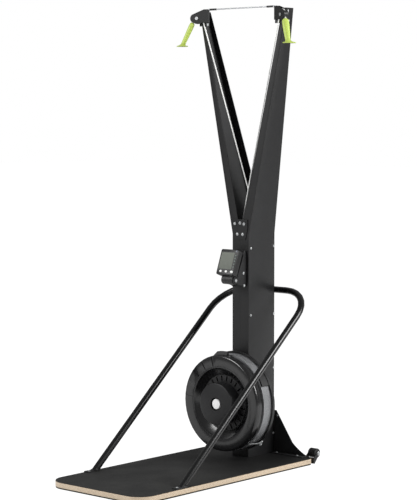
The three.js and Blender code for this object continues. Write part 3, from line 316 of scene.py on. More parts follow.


# Platform: a dark rubber underlay, a lacquered birch plywood board and a grip mat glued on top.
# The board's edge shows its plies: streaks where the grain runs along the edge, and fine dark
# pores where it ends there. The mat has a pebbled face, darkened towards the rear by painted shade.
def coordinates(tree):
    """The object coordinates as a vector, and apart as X, Y and Z."""
    place = tree.nodes.new("ShaderNodeTexCoord").outputs["Object"]
    apart = tree.nodes.new("ShaderNodeSeparateXYZ")
    tree.links.new(place, apart.inputs["Vector"])
    return place, apart.outputs["X"], apart.outputs["Y"], apart.outputs["Z"]


def stretched(tree, place, scale):
    """Object coordinates with each axis scaled by its own number."""
    mapping = tree.nodes.new("ShaderNodeMapping")
    mapping.inputs["Scale"].default_value = scale
    tree.links.new(place, mapping.inputs["Vector"])
    return mapping.outputs["Vector"]


def blended(tree, share, first, second):
    """A mix of two colours; each is a colour or a socket."""
    made = tree.nodes.new("ShaderNodeMix")
    made.data_type = "RGBA"
    tree.links.new(share, made.inputs["Factor"])
    for slot, value in ((made.inputs["A"], first), (made.inputs["B"], second)):
        if isinstance(value, tuple):
            slot.default_value = value
        else:
            tree.links.new(value, slot)
    return made.outputs["Result"]


def two_tones(tree, share, first, second):
    """A ramp between two tones; each is a place on the ramp and a colour."""
    made = tree.nodes.new("ShaderNodeValToRGB")
    for element, (place, colour) in zip(made.color_ramp.elements, (first, second)):
        element.position = place
        element.color = colour
    tree.links.new(share, made.inputs["Fac"])
    return made.outputs["Color"]


def mapped(tree, value, before, after=(0, 1), kind="LINEAR"):
    """A value carried from one range to another."""
    made = tree.nodes.new("ShaderNodeMapRange")
    made.interpolation_type = kind
    for label, number in zip(("From Min", "From Max", "To Min", "To Max"), (*before, *after)):
        made.inputs[label].default_value = number
    tree.links.new(value, made.inputs["Value"])
    return made.outputs["Result"]


def bumped(tree, height, distance):
    """A bump from a height, as the normal that a shader takes."""
    made = tree.nodes.new("ShaderNodeBump")
    made.inputs["Distance"].default_value = distance
    tree.links.new(height, made.inputs["Height"])
    return made.outputs["Normal"]


def bare_material(name, roughness, metallic=0.0, coat=0.0):
    """A Principled material; returns it, its tree and its shader."""
    made = bpy.data.materials.new(name)
    made.use_nodes = True
    shader = made.node_tree.nodes["Principled BSDF"]
    shader.inputs["Roughness"].default_value = roughness
    shader.inputs["Metallic"].default_value = metallic
    shader.inputs["Coat Weight"].default_value = coat
    shader.inputs["Coat Roughness"].default_value = 0.15
    return made, made.node_tree, shader


underlay_rubber = grained(
    "underlay rubber", tint(45, 43, 36), 0.9, colour_change=0.4, scale=450, patch_scale=14, depth=0.0004
)
dress(underlay_rubber, "underlay")

board_low, board_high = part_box("deck_board")
ply_count = 13
grain_fine_scale, grain_long_scale, grain_ply_scale = 90, 3, 900
pore_scale = 1500
glue_share, glue_strength = 0.09, 0.45
ply_thickness = (board_high[2] - board_low[2]) / ply_count
plywood, wood_tree, wood_shader = bare_material("birch plywood", 0.38, coat=0.25)
wood_place, _, _, wood_z = coordinates(wood_tree)
plies_up = maths(wood_tree, "DIVIDE", maths(wood_tree, "SUBTRACT", wood_z, board_low[2]), ply_thickness)
cross_ply = maths(wood_tree, "MODULO", maths(wood_tree, "FLOOR", plies_up), 2)
facing = wood_tree.nodes.new("ShaderNodeSeparateXYZ")
wood_tree.links.new(wood_tree.nodes.new("ShaderNodeNewGeometry").outputs["Normal"], facing.inputs["Vector"])
faces_side = maths(
    wood_tree, "GREATER_THAN",
    maths(wood_tree, "ABSOLUTE", facing.outputs["X"]),
    maths(wood_tree, "ABSOLUTE", facing.outputs["Y"]),
)
end_grain = maths(wood_tree, "ABSOLUTE", maths(wood_tree, "SUBTRACT", faces_side, cross_ply))
along_place = stretched(wood_tree, wood_place, (grain_fine_scale, grain_long_scale, grain_ply_scale))
across_place = stretched(wood_tree, wood_place, (grain_long_scale, grain_fine_scale, grain_ply_scale))
streaks_along = noise(wood_tree, along_place, scale=1, detail=6)
streaks_across = noise(wood_tree, across_place, scale=1, detail=6)
streaks = blended(wood_tree, cross_ply, streaks_along, streaks_across)
long_tone = two_tones(wood_tree, streaks, (0.3, tint(186, 166, 140)), (0.62, tint(212, 198, 178)))
pores = noise(wood_tree, wood_place, pore_scale, detail=3)
end_tone = two_tones(wood_tree, pores, (0.38, tint(140, 112, 84)), (0.55, tint(196, 178, 152)))
ply_tone = blended(wood_tree, end_grain, long_tone, end_tone)
glue_line = maths(wood_tree, "LESS_THAN", maths(wood_tree, "FRACT", plies_up), glue_share)
board_tone = blended(
    wood_tree, maths(wood_tree, "MULTIPLY", glue_line, glue_strength), ply_tone, tint(120, 88, 55)
)
wood_tree.links.new(board_tone, wood_shader.inputs["Base Color"])
wood_tree.links.new(bumped(wood_tree, pores, distance=0.00008), wood_shader.inputs["Normal"])
dress(plywood, "deck_board")

mat_rubber, mat_tree, mat_shader = bare_material("pebbled rubber mat", 0.7)
mat_shader.inputs["Specular IOR Level"].default_value = 0.3
mat_place, _, mat_y, _ = coordinates(mat_tree)
pebbles = mat_tree.nodes.new("ShaderNodeTexVoronoi")
pebbles.feature = "SMOOTH_F1"
pebbles.inputs["Scale"].default_value = 300
pebbles.inputs["Smoothness"].default_value = 0.4
mat_tree.links.new(mat_place, pebbles.inputs["Vector"])
pebble_rise = maths(mat_tree, "SUBTRACT", 1, pebbles.outputs["Distance"])
mat_wear = noise(mat_tree, mat_place, scale=7, detail=6)
mat_tone = two_tones(mat_tree, mat_wear, (0.3, tint(28, 28, 28)), (0.7, tint(38, 38, 37)))
# Painted shade: the mat's colour falls to a tenth from the front towards the rear, under the housing.
rear_shade_start, rear_shade_full, rear_shade_tone = -0.1, 0.25, 0.1
mat_rear_painted_shade = mapped(
    mat_tree, mat_y, (rear_shade_start, rear_shade_full), (1, rear_shade_tone), kind="SMOOTHSTEP"
)
# Painted shade and light: the colour is darker in the hollows between pebbles and lighter on their tops.
pebble_painted_shade = maths(mat_tree, "MULTIPLY_ADD", pebble_rise, 0.6, 0.6)
mat_painted_shade = maths(mat_tree, "MULTIPLY", pebble_painted_shade, mat_rear_painted_shade)
mat_colour = scaled_colour(mat_tree, mat_tone, mat_painted_shade)
mat_tree.links.new(mat_colour, mat_shader.inputs["Base Color"])
mat_tree.links.new(maths(mat_tree, "MULTIPLY_ADD", mat_wear, -0.25, 0.8), mat_shader.inputs["Roughness"])
mat_tree.links.new(bumped(mat_tree, pebble_rise, distance=0.0006), mat_shader.inputs["Normal"])
dress(mat_rubber, "grip_mat")


# Fasteners: zinc-plated button-head screws with a hexagon socket, and hexagon nuts.
# They hold the folded steel pieces to each other and the feet to the board.
zinc = grained(
    "zinc plating", tint(188, 190, 191), 0.34, metallic=0.85, colour_change=0.2, roughness_change=0.3,
    scale=500, patch_scale=60, depth=0.00004,
)


def spun(profile, steps=24):
    """A bmesh of a profile of [radius, height] points spun about Z into a closed shape."""
    bm = bmesh.new()
    points = [bm.verts.new((radius, 0, height)) for radius, height in profile]
    edges = [bm.edges.new(pair) for pair in zip(points, points[1:])]
    bmesh.ops.spin(
        bm, geom=points + edges, cent=(0, 0, 0), axis=(0, 0, 1), angle=math.tau, steps=steps, use_merge=True
    )
    bmesh.ops.remove_doubles(bm, verts=bm.verts, dist=0.000001)
    bmesh.ops.recalc_face_normals(bm, faces=bm.faces)
    return bm


def facing_matrix(place, direction):
    """Turns +Z to a direction and moves to a place."""
    turn = Vector(direction).to_track_quat("Z", "Y").to_matrix().to_4x4()
    return Matrix.Translation(place) @ turn


def joined(name, parts):
    """One bmesh from several [bmesh, matrix] pairs, which it uses up."""
    whole = bmesh.new()
    for part, matrix in parts:
        scratch = bpy.data.meshes.new(name)
        bmesh.ops.transform(part, matrix=matrix, verts=part.verts)
        part.to_mesh(scratch)
        part.free()
        whole.from_mesh(scratch)
        bpy.data.meshes.remove(scratch)
    return whole


def finished(name, bm, material, body="frame", sharp=SHARP_DEGREES):
    """A bmesh as a piece of the object, shaded round except across sharp edges, riding on a body."""
    for face in bm.faces:
        face.smooth = True
    for edge in bm.edges:
        edge.smooth = edge.calc_face_angle(0) < math.radians(sharp)
    mesh = bpy.data.meshes.new(name)
    bm.to_mesh(mesh)
    bm.free()
    piece = bpy.data.objects.new(name, mesh)
    bpy.context.collection.objects.link(piece)
    mesh.materials.append(material)
    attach(piece, body)
    return piece


def button_screw(radius):
    """A button head with a hexagon socket, on a small washer."""
    socket = 0.42 * radius
    rise = 0.62 * radius
    bm = spun([
        (socket, 0.9 * rise),
        (0.6 * radius, 0.86 * rise),
        (0.82 * radius, 0.62 * rise),
        (radius, 0.25 * rise),
        (radius, 0.12 * rise),
        (1.25 * radius, 0.12 * rise),
        (1.25 * radius, 0),
    ])
    rim = [edge for edge in bm.edges if edge.is_boundary and edge.verts[0].co.z > 0.5 * rise]
    hexagon = bmesh.ops.create_circle(bm, segments=6, radius=socket * 0.92)["verts"]
    bmesh.ops.translate(bm, verts=hexagon, vec=(0, 0, 0.86 * rise))
    hexagon_edges = list({edge for vert in hexagon for edge in vert.link_edges})
    bmesh.ops.bridge_loops(bm, edges=rim + hexagon_edges)
    deep = bmesh.ops.extrude_edge_only(bm, edges=hexagon_edges)["geom"]
    low = [item for item in deep if isinstance(item, bmesh.types.BMVert)]
    bmesh.ops.translate(bm, verts=low, vec=(0, 0, -0.6 * rise))
    bmesh.ops.holes_fill(bm, edges=[item for item in deep if isinstance(item, bmesh.types.BMEdge)], sides=6)
    bmesh.ops.recalc_face_normals(bm, faces=bm.faces)
    return bm


def hexagon_nut(radius, rise):
    """A hexagon nut with its upper corners turned off, on a round washer."""
    bm = bmesh.new()
    bmesh.ops.create_cone(
        bm, cap_ends=True, segments=6, radius1=radius, radius2=radius, depth=rise,
        matrix=Matrix.Translation((0, 0, rise / 2)),
    )
    upper = [edge for edge in bm.edges if min(vert.co.z for vert in edge.verts) > 0.9 * rise]
    bmesh.ops.bevel(
        bm, geom=upper, offset=0.12 * radius, affect="EDGES", segments=2, profile=0.5, material=-1
    )
    seat = 0.0001
    washer_radius, washer_rise = 1.25 * radius, 0.18 * rise
    washer = spun([(0, seat), (washer_radius, seat), (washer_radius, washer_rise), (0, washer_rise)])
    return joined("nut", [(bm, Matrix()), (washer, Matrix())])


def screws(name, spots, radius):
    """A set of screws on the frame, each at a place and facing a direction."""
    parts = [(button_screw(radius), facing_matrix(place, direction)) for place, direction in spots]
    finished(name, joined(name, parts), zinc)


FORWARDS, UPWARDS = (0, -1, 0), (0, 0, 1)
SIDES = (("left", -1), ("right", 1))
column_front, column_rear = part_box("right_upright")[0][1], 0.5715
column_side = 0.052
joint_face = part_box("joint_plate")[0][1]
joint_spots = ((0, 1.1705), (-0.0165, 1.1165), (0.0165, 1.1165))
screws("joint_plate_screws", [((x, joint_face, z), FORWARDS) for x, z in joint_spots], radius=0.0062)
front_screw_inset, rear_screw_inset = 0.018, 0.007
side_screw_spots = [
    *((column_front + front_screw_inset, height) for height in (1.05, 0.725)),
    *((column_rear - rear_screw_inset, height) for height in (1.051, 0.719, 0.453, 0.127)),
]
for side, sign in SIDES:
    spots = [((sign * column_side, depth, height), (sign, 0, 0)) for depth, height in side_screw_spots]
    screws(side + "_side_screws", spots, radius=0.005)
brace_low, brace_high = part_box("rear_brace_plate")
flange_sheet, brace_sheet = 0.003, 0.004
flange_top = brace_low[2] + flange_sheet
brace_front = brace_high[1] - brace_sheet
flange_screw_y, flange_screw_xs = brace_front - 0.016, (0.081, 0.209)
wing_screw_x, wing_screw_height = 0.0705, 0.214
brace_spots = [
    *(((sign * x, flange_screw_y, flange_top), UPWARDS) for sign in (-1, 1) for x in flange_screw_xs),
    *(((sign * wing_screw_x, brace_front, wing_screw_height), FORWARDS) for sign in (-1, 1)),
]
screws("brace_plate_screws", brace_spots, radius=0.006)
foot_low, foot_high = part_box("right_hoop_foot")
foot_middle, foot_screw_inset = (foot_low[0] + foot_high[0]) / 2, 0.018
foot_spots = [
    ((sign * foot_middle, foot_low[1] + foot_screw_inset, foot_high[2]), UPWARDS) for sign in (-1, 1)
]
screws("hoop_foot_screws", foot_spots, radius=0.0055)


# Band clamp: a zinc-plated strip along the housing's lower right edge. Two screws hold its broad
# rear end to the back shell's rim, and a hook at its front end grips the edge of the vent band.
def plate_between(outline, thickness, bevel):
    """A bmesh plate of a flat outline in X and Y, given a thickness along Z and soft edges."""
    bm = bmesh.new()
    face = bm.faces.new([bm.verts.new((x, y, 0)) for x, y in outline])
    raised = bmesh.ops.extrude_face_region(bm, geom=[face])["geom"]
    upper = [item for item in raised if isinstance(item, bmesh.types.BMVert)]
    bmesh.ops.translate(bm, verts=upper, vec=(0, 0, thickness))
    bmesh.ops.recalc_face_normals(bm, faces=bm.faces)
    bmesh.ops.bevel(
        bm, geom=list(bm.edges), offset=bevel, affect="EDGES", segments=2, profile=0.5, material=-1
    )
    return bm


def middle(node):
    """The middle of a node's box."""
    low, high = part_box(node)
    return (Vector(low) + Vector(high)) / 2


def beside_hub(radius, degrees, depth):
    """A point at a radius and an angle round the housing's axis, ahead of the column by a depth."""
    angle = math.radians(degrees)
    hub_z = middle("hub_cap").z
    return Vector((radius * math.cos(angle), column_front - depth, hub_z + radius * math.sin(angle)))


clamp_rear = beside_hub(radius=0.2489, degrees=-49.2, depth=0.028)
clamp_front = beside_hub(radius=0.2362, degrees=-52.3, depth=0.104)
clamp_way = (clamp_front - clamp_rear).normalized()
clamp_lean = math.radians(-25)
clamp_down = Vector((math.cos(clamp_lean), 0, math.sin(clamp_lean))).cross(clamp_way).normalized()
clamp_out = clamp_way.cross(clamp_down)
clamp_frame = Matrix((clamp_way, clamp_down, clamp_out)).transposed().to_4x4()
clamp_frame.translation = clamp_rear
clamp_thickness, hook_depth = 0.0025, 0.014
clamp_length = (clamp_front - clamp_rear).length
hook_start = clamp_length - clamp_thickness
broad, narrow = 0.0135, 0.0045
clamp_half = ((0, broad), (0.011, broad), (0.019, narrow), (clamp_length, narrow))
clamp_plate = plate_between(
    [(along, -half) for along, half in clamp_half] + [(along, half) for along, half in reversed(clamp_half)],
    thickness=clamp_thickness, bevel=0.0006,
)
hook = plate_between(
    [(hook_start, -narrow), (clamp_length, -narrow), (clamp_length, narrow), (hook_start, narrow)],
    thickness=hook_depth, bevel=0.0005,
)
hook_frame = clamp_frame @ Matrix.Translation((0, 0, -hook_depth))
clamp = joined("clamp", [(clamp_plate, clamp_frame), (hook, hook_frame)])
finished("band_clamp", clamp, zinc)
clamp_screw_inset, clamp_screw_half_gap = 0.0065, 0.009
clamp_spots = [
    (clamp_frame @ Vector((clamp_screw_inset, across, clamp_thickness)), clamp_out)
    for across in (-clamp_screw_half_gap, clamp_screw_half_gap)
]
screws("band_clamp_screws", clamp_spots, radius=0.0042)


# Hoop brace: one bent steel tube from deck edge to deck edge with a gloss black coat, welded to
# its two foot plates. The weld is a rough bead round the end of each leg.
gloss_black = grained(
    "gloss black coat", tint(9, 9, 10), 0.24, colour_change=0.15, roughness_change=0.12,
    scale=350, patch_scale=6, depth=0.00006, coat=0.15, specular=0.3,
)
dress(gloss_black, "hoop_brace")
leg_half_width = 0.276
foot_lead, deck_top, leg_run_per_rise = 0.052, 0.032, 1.167
leg_centre_y = (foot_low[1] + foot_lead) + (foot_high[2] - deck_top) * leg_run_per_rise
bead_radius, bead_ring_radius, bead_stretch, bead_rise = 0.0022, 0.0162, 1.53, 0.0012
weld_ripple = grained("weld bead", tint(16, 16, 17), 0.4, scale=700, depth=0.0006, specular=0.3)
for side, sign in SIDES:
    bead = bmesh.new()
    ring = bmesh.ops.create_circle(bead, segments=8, radius=bead_radius)["verts"]
    bmesh.ops.rotate(bead, verts=ring, matrix=Matrix.Rotation(math.pi / 2, 3, "X"))
    bmesh.ops.translate(bead, verts=ring, vec=(bead_ring_radius, 0, 0))
    ring_edges = list(bead.edges)
    bmesh.ops.spin(
        bead, geom=list(ring) + ring_edges, cent=(0, 0, 0), axis=(0, 0, 1), angle=math.tau, steps=48,
        use_merge=True,
    )
    bmesh.ops.remove_doubles(bead, verts=bead.verts, dist=0.000001)
    bmesh.ops.scale(bead, verts=bead.verts, vec=(1, bead_stretch, 1))
    bead_place = (sign * leg_half_width, leg_centre_y, foot_high[2] + bead_rise)
    bmesh.ops.translate(bead, verts=bead.verts, vec=bead_place)
    bmesh.ops.recalc_face_normals(bead, faces=bead.faces)
    finished(side + "_hoop_weld", bead, weld_ripple)


# Works and mouldings: turned steel sheaves, tie rod, bearings, shaft and flywheel, zinc-plated pins,
# and moulded black plastic pulleys, drums, back shell, grille and monitor case, with a glossier
# damper ring and front cover. Screws hold each head, and a sleeve covers each end of the tie rod.
turned_steel = grained(
    "turned steel", tint(176, 178, 181), 0.34, metallic=0.9, colour_change=0.15, roughness_change=0.2,
    scale=260, patch_scale=40, depth=0.00003,
)
dress(
    turned_steel,
    "left_guide_sheave", "right_guide_sheave", "tie_rod", "flywheel", "flywheel_shaft",
    "front_bearing", "rear_bearing",
)
dress(zinc, "left_sheave_axle", "right_sheave_axle", "left_pulley_pin", "right_pulley_pin", "pivot_bolt")
moulded_black = grained(
    "moulded black plastic", tint(15, 15, 16), 0.38, colour_change=0.18, roughness_change=0.12,
    scale=1100, patch_scale=8, depth=0.00008, specular=0.45,
)
dress(
    moulded_black,
    "left_top_pulley", "right_top_pulley", "back_shell", "speed_sensor",
    "left_drum", "right_drum", "monitor_case", "pivot_block",
)
grille_black = grained(
    "grille plastic", tint(29, 29, 30), 0.42, colour_change=0.18, roughness_change=0.12,
    scale=1100, patch_scale=8, depth=0.00018, specular=0.3,
)
dress(grille_black, "grille")
gloss_plastic = grained(
    "gloss black plastic", tint(15, 15, 16), 0.2, colour_change=0.15, roughness_change=0.1,
    scale=300, patch_scale=7, depth=0.00005, coat=0.2,
)
dress(gloss_plastic, "damper_ring", "front_cover")
head_sheet = 0.003
plate_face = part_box("right_head_bracket")[1][1] - head_sheet
arm_slope = 221 / 1077
arm_top_x, arm_top_height = 0.2730, 2.192
head_screw_radius = 0.0058
for side, sign in SIDES:
    spots = []
    for depth, height in ((0.0240, 2.176), (0.0420, 2.131)):
        x = arm_top_x - (arm_top_height - height) * arm_slope
        spots.append(((sign * x, column_front + depth, height), (sign, 0, -arm_slope)))
    screws(side + "_head_screws", spots, radius=head_screw_radius)
screws("head_plate_screw", [((-0.2165, plate_face, 2.1285), FORWARDS)], radius=head_screw_radius)
rod = middle("tie_rod")
rod_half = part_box("tie_rod")[1][0]
sleeve_length, sleeve_setback = 0.04, 0.0072
sleeve_bore, sleeve_end_radius, sleeve_radius, sleeve_taper = 0.0031, 0.0045, 0.0047, 0.0012
for side, sign in SIDES:
    sleeve = spun([
        (sleeve_bore, 0), (sleeve_end_radius, 0), (sleeve_radius, sleeve_taper),
        (sleeve_radius, sleeve_length), (sleeve_bore, sleeve_length),
    ])
    start = Vector((sign * (rod_half - sleeve_setback), rod.y, rod.z))
    bmesh.ops.transform(sleeve, matrix=facing_matrix(start, (-sign, 0, 0)), verts=sleeve.verts)
    finished(side + "_rod_sleeve", sleeve, moulded_black)


# Ropes: white braided cord of 6 mm. Each runs over its top pulley, crosses the fork to the other
# side's guide sheave and goes down inside the column to its drum.
braid_tree, braid_in, braid_out = node_group(
    "rope braid", [("Around", "value"), ("Along", "value")], [("Colour", "colour"), ("Height", "value")]
)
strand_count = 8


def strand(sign):
    """How high a strand that winds one way stands, from 0 to 1."""
    slant = maths(braid_tree, "MULTIPLY", braid_in.outputs["Along"], sign)
    turn = maths(braid_tree, "MULTIPLY_ADD", braid_in.outputs["Around"], strand_count, slant)
    wave = maths(braid_tree, "SINE", maths(braid_tree, "MULTIPLY", turn, math.pi))
    return maths(braid_tree, "ABSOLUTE", wave)


braid_height = maths(braid_tree, "MULTIPLY", strand(1), strand(-1))
# Painted shade: the rope's white is darker where the strands dip between each other.
braid_swing, braid_floor = 0.15, 0.85
braid_painted_shade = maths(
    braid_tree, "MULTIPLY_ADD", maths(braid_tree, "POWER", braid_height, 0.5), braid_swing, braid_floor
)
rope_white = braid_tree.nodes.new("ShaderNodeRGB")
rope_white.outputs["Color"].default_value = tint(252, 252, 250)
braid_tree.links.new(
    scaled_colour(braid_tree, rope_white.outputs["Color"], braid_painted_shade), braid_out.inputs["Colour"]
)
braid_tree.links.new(braid_height, braid_out.inputs["Height"])
rope_radius = 0.003
braid_pitch = 0.0024


def braided(name, around, along):
    """A rope material whose braid reads two sockets that the callers make in its tree."""
    made, tree, shader = bare_material(name, 0.75)
    group = tree.nodes.new("ShaderNodeGroup")
    group.node_tree = braid_tree
    tree.links.new(around(tree), group.inputs["Around"])
    tree.links.new(along(tree), group.inputs["Along"])
    tree.links.new(group.outputs["Colour"], shader.inputs["Base Color"])
    tree.links.new(bumped(tree, group.outputs["Height"], distance=0.0004), shader.inputs["Normal"])
    return made


def uv_part(part, factor):
    """Reads one part of the rope's own UV map, scaled."""

    def read(tree):
        apart = tree.nodes.new("ShaderNodeSeparateXYZ")
        tree.links.new(tree.nodes.new("ShaderNodeUVMap").outputs["UV"], apart.inputs["Vector"])
        return maths(tree, "MULTIPLY", apart.outputs[part], factor)

    return read


run_cord = braided("braided white rope", uv_part("X", 1), uv_part("Y", 1))
rope_sides = 16


def tube_along(points, radius, sides, turns_per_metre):
    """A closed tube along points: a ring is extruded from point to point, with a UV map along it."""
    bm = bmesh.new()
    uv = bm.loops.layers.uv.new("along")
    side = None
    along = 0.0
    spots = {}
    ring = bmesh.ops.create_circle(bm, segments=sides, radius=radius)["verts"]
    edges = list(bm.edges)
    for i, point in enumerate(points):
        before, after = points[max(i - 1, 0)], points[min(i + 1, len(points) - 1)]
        way = (after - before).normalized()
        side = (side or Vector((0, 1, 0)).cross(way)).normalized()
        side = (side - way * side.dot(way)).normalized()
        frame_here = Matrix((side, way.cross(side), way)).transposed().to_4x4()
        frame_here.translation = point
        if i:
            grown = bmesh.ops.extrude_edge_only(bm, edges=edges)["geom"]
            edges = [item for item in grown if isinstance(item, bmesh.types.BMEdge)]
            ring = [item for item in grown if isinstance(item, bmesh.types.BMVert)]
            bmesh.ops.transform(bm, matrix=frame_here @ frame_before.inverted(), verts=ring)
            along += (point - before).length
        else:
            bmesh.ops.transform(bm, matrix=frame_here, verts=ring)
        back = frame_here.inverted()
        for vert in ring:
            local = back @ vert.co
            spots[vert] = (math.atan2(local.y, local.x) / math.tau, along * turns_per_metre)
        frame_before = frame_here
    for face in bm.faces:
        turns = [spots[loop.vert][0] for loop in face.loops]
        wraps = max(turns) - min(turns) > 0.5
        for loop, turn in zip(face.loops, turns):
            loop[uv].uv = (turn + (1 if wraps and turn < 0 else 0), spots[loop.vert][1])
    bmesh.ops.holes_fill(bm, edges=bm.edges, sides=sides)
    bmesh.ops.recalc_face_normals(bm, faces=bm.faces)
    return bm


def arc(centre, outwards, radius, start, end, steps):
    """Points on a circle in an upright plane."""
    return [
        centre + outwards * (radius * math.cos(angle)) + Vector((0, 0, radius * math.sin(angle)))
        for angle in (start + (end - start) * i / steps for i in range(steps + 1))
    ]


toe = math.radians(20)
pulley_line, sheave_line, drum_line = 0.0245, 0.015, 0.028
rope_landing = 0.02
# Each lean is how far the straight run between two wheels slants from plumb.
for side, other, sign in (("left", "right", -1), ("right", "left", 1)):
    outwards = Vector((sign * math.cos(toe), -math.sin(toe), 0))
    pin = middle(side + "_top_pulley")
    sheave = middle(other + "_guide_sheave")
    drum = middle(side + "_drum")
    drum_spot = drum + Vector((drum_line, 0, rope_landing))
    across = Vector((-sign, 0, 0))
    fall = sheave - pin
    pulley_lean = math.atan2(-fall.dot(outwards) - pulley_line + sheave_line, -fall.z)
    sheave_lean = math.atan2(abs(fall.x) + sheave_line - pulley_line, -fall.z)
    leaving = drum_spot - sheave - across * sheave_line
    exit_lean = math.atan2(-leaving.dot(across), -leaving.z)
    route = [
        *arc(pin, outwards, pulley_line, start=0, end=math.pi - pulley_lean, steps=28),
        *arc(sheave, across, sheave_line, start=sheave_lean, end=-exit_lean, steps=10),
        drum_spot,
    ]
    run = tube_along(route, rope_radius, rope_sides, 1 / (strand_count * braid_pitch / 2))
    piece = finished(side + "_rope_run", run, run_cord)
    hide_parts(side + "_rope")


# Rope tails: the short stretch from the pulley's side down to the handle, which pays out as the
# handle is pulled. Its braid reads its place.
tail_overlap, tail_steps = 0.0006, 24
for side, sign in SIDES:
    tail_low, tail_high = (Vector(corner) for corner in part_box(side + "_rope_tail"))
    centre = (tail_low + tail_high) / 2
    top = tail_high.z + tail_overlap
    tail = bmesh.new()
    ring = bmesh.ops.create_circle(tail, segments=rope_sides, radius=rope_radius)["verts"]
    bmesh.ops.translate(tail, verts=ring, vec=(centre.x, centre.y, top))
    edges = list(tail.edges)
    for _ in range(tail_steps):
        grown = bmesh.ops.extrude_edge_only(tail, edges=edges)["geom"]
        edges = [item for item in grown if isinstance(item, bmesh.types.BMEdge)]
        lower = [item for item in grown if isinstance(item, bmesh.types.BMVert)]
        bmesh.ops.translate(tail, verts=lower, vec=(0, 0, (tail_low.z - top) / tail_steps))
    bmesh.ops.holes_fill(tail, edges=tail.edges, sides=rope_sides)
    bmesh.ops.recalc_face_normals(tail, faces=tail.faces)

    def around_tail(tree, centre=centre):
        _, x, y, _ = coordinates(tree)
        from_centre = maths(tree, "SUBTRACT", y, centre.y), maths(tree, "SUBTRACT", x, centre.x)
        angle = maths(tree, "ARCTAN2", *from_centre)
        return maths(tree, "DIVIDE", angle, math.tau)

    def along_tail(tree):
        return maths(tree, "DIVIDE", coordinates(tree)[3], strand_count * braid_pitch / 2)

    tail_cord = braided(side + " hanging rope", around_tail, along_tail)
    for face in tail.faces:
        face.smooth = len(face.verts) == 4
    tail_mesh = bpy.data.meshes.new(side + "_rope_drop")
    tail.to_mesh(tail_mesh)
    tail.free()
    tail_piece = bpy.data.objects.new(side + "_rope_drop", tail_mesh)
    bpy.context.collection.objects.link(tail_piece)
    tail_mesh.materials.append(tail_cord)
    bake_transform(tail_piece)
    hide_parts(side + "_rope_tail")


# Handles: one-piece lime grips that lean outwards, oval in section, with a level hand rest at the
# foot. A white plastic sleeve takes the knotted rope at the top, and the underside is hollow, its
# inside a darker lime as painted shade.
lime = grained(
    "lime moulded plastic", tint(180, 200, 92), 0.42, colour_change=0.12, roughness_change=0.15,
    scale=1400, patch_scale=25, depth=0.0001,
)
sleeve_white = grained("white sleeve", tint(236, 238, 230), 0.4, colour_change=0.08, scale=900, depth=0.00006)
# Painted shade: the hollow underside gets a darker lime than the grip.
hollow_painted_shade = grained("handle underside painted shade", tint(58, 62, 34), 0.6, colour_change=0.2, scale=900)
handle_tilt, handle_toe = math.radians(25), math.radians(35)
grip_hang = 0.021
foot_wall, foot_draft, foot_hollow = 0.003, 0.0015, 0.0035
# Each ring: how far down, half-width in X and in Y, share of the tilt, shift in Y.
grip_rings = [
    (0.000, 0.0060, 0.0070, 1.0, 0),
    (0.003, 0.0098, 0.0114, 1.0, 0),
    (0.007, 0.0118, 0.0148, 1.0, 0),
    (0.013, 0.0124, 0.0163, 1.0, 0),
    (0.035, 0.0125, 0.0165, 1.0, 0),
    (0.070, 0.0114, 0.0145, 1.0, 0),
    (0.090, 0.0107, 0.0130, 0.85, 0),
    (0.100, 0.0106, 0.0126, 0.6, 0.0004),
    (0.105, 0.0118, 0.0140, 0.4, 0.0012),
    (0.1085, 0.0165, 0.0195, 0.15, 0.0030),
    (0.1105, 0.0240, 0.0280, 0.03, 0.0045),
    (0.1115, 0.0272, 0.0311, 0, 0.0049),
    (0.1125, 0.0280, 0.0320, 0, 0.0050),
    (0.1145, 0.0279, 0.0319, 0, 0.0050),
    (0.1150, 0.0272, 0.0312, 0, 0.0050),
]
grip_sleeve_profile = [
    (0.0034, 0.0065), (0.0046, 0.0062), (0.0058, 0.0052), (0.0066, 0.003), (0.0068, -0.001), (0.0066, -0.0025),
]
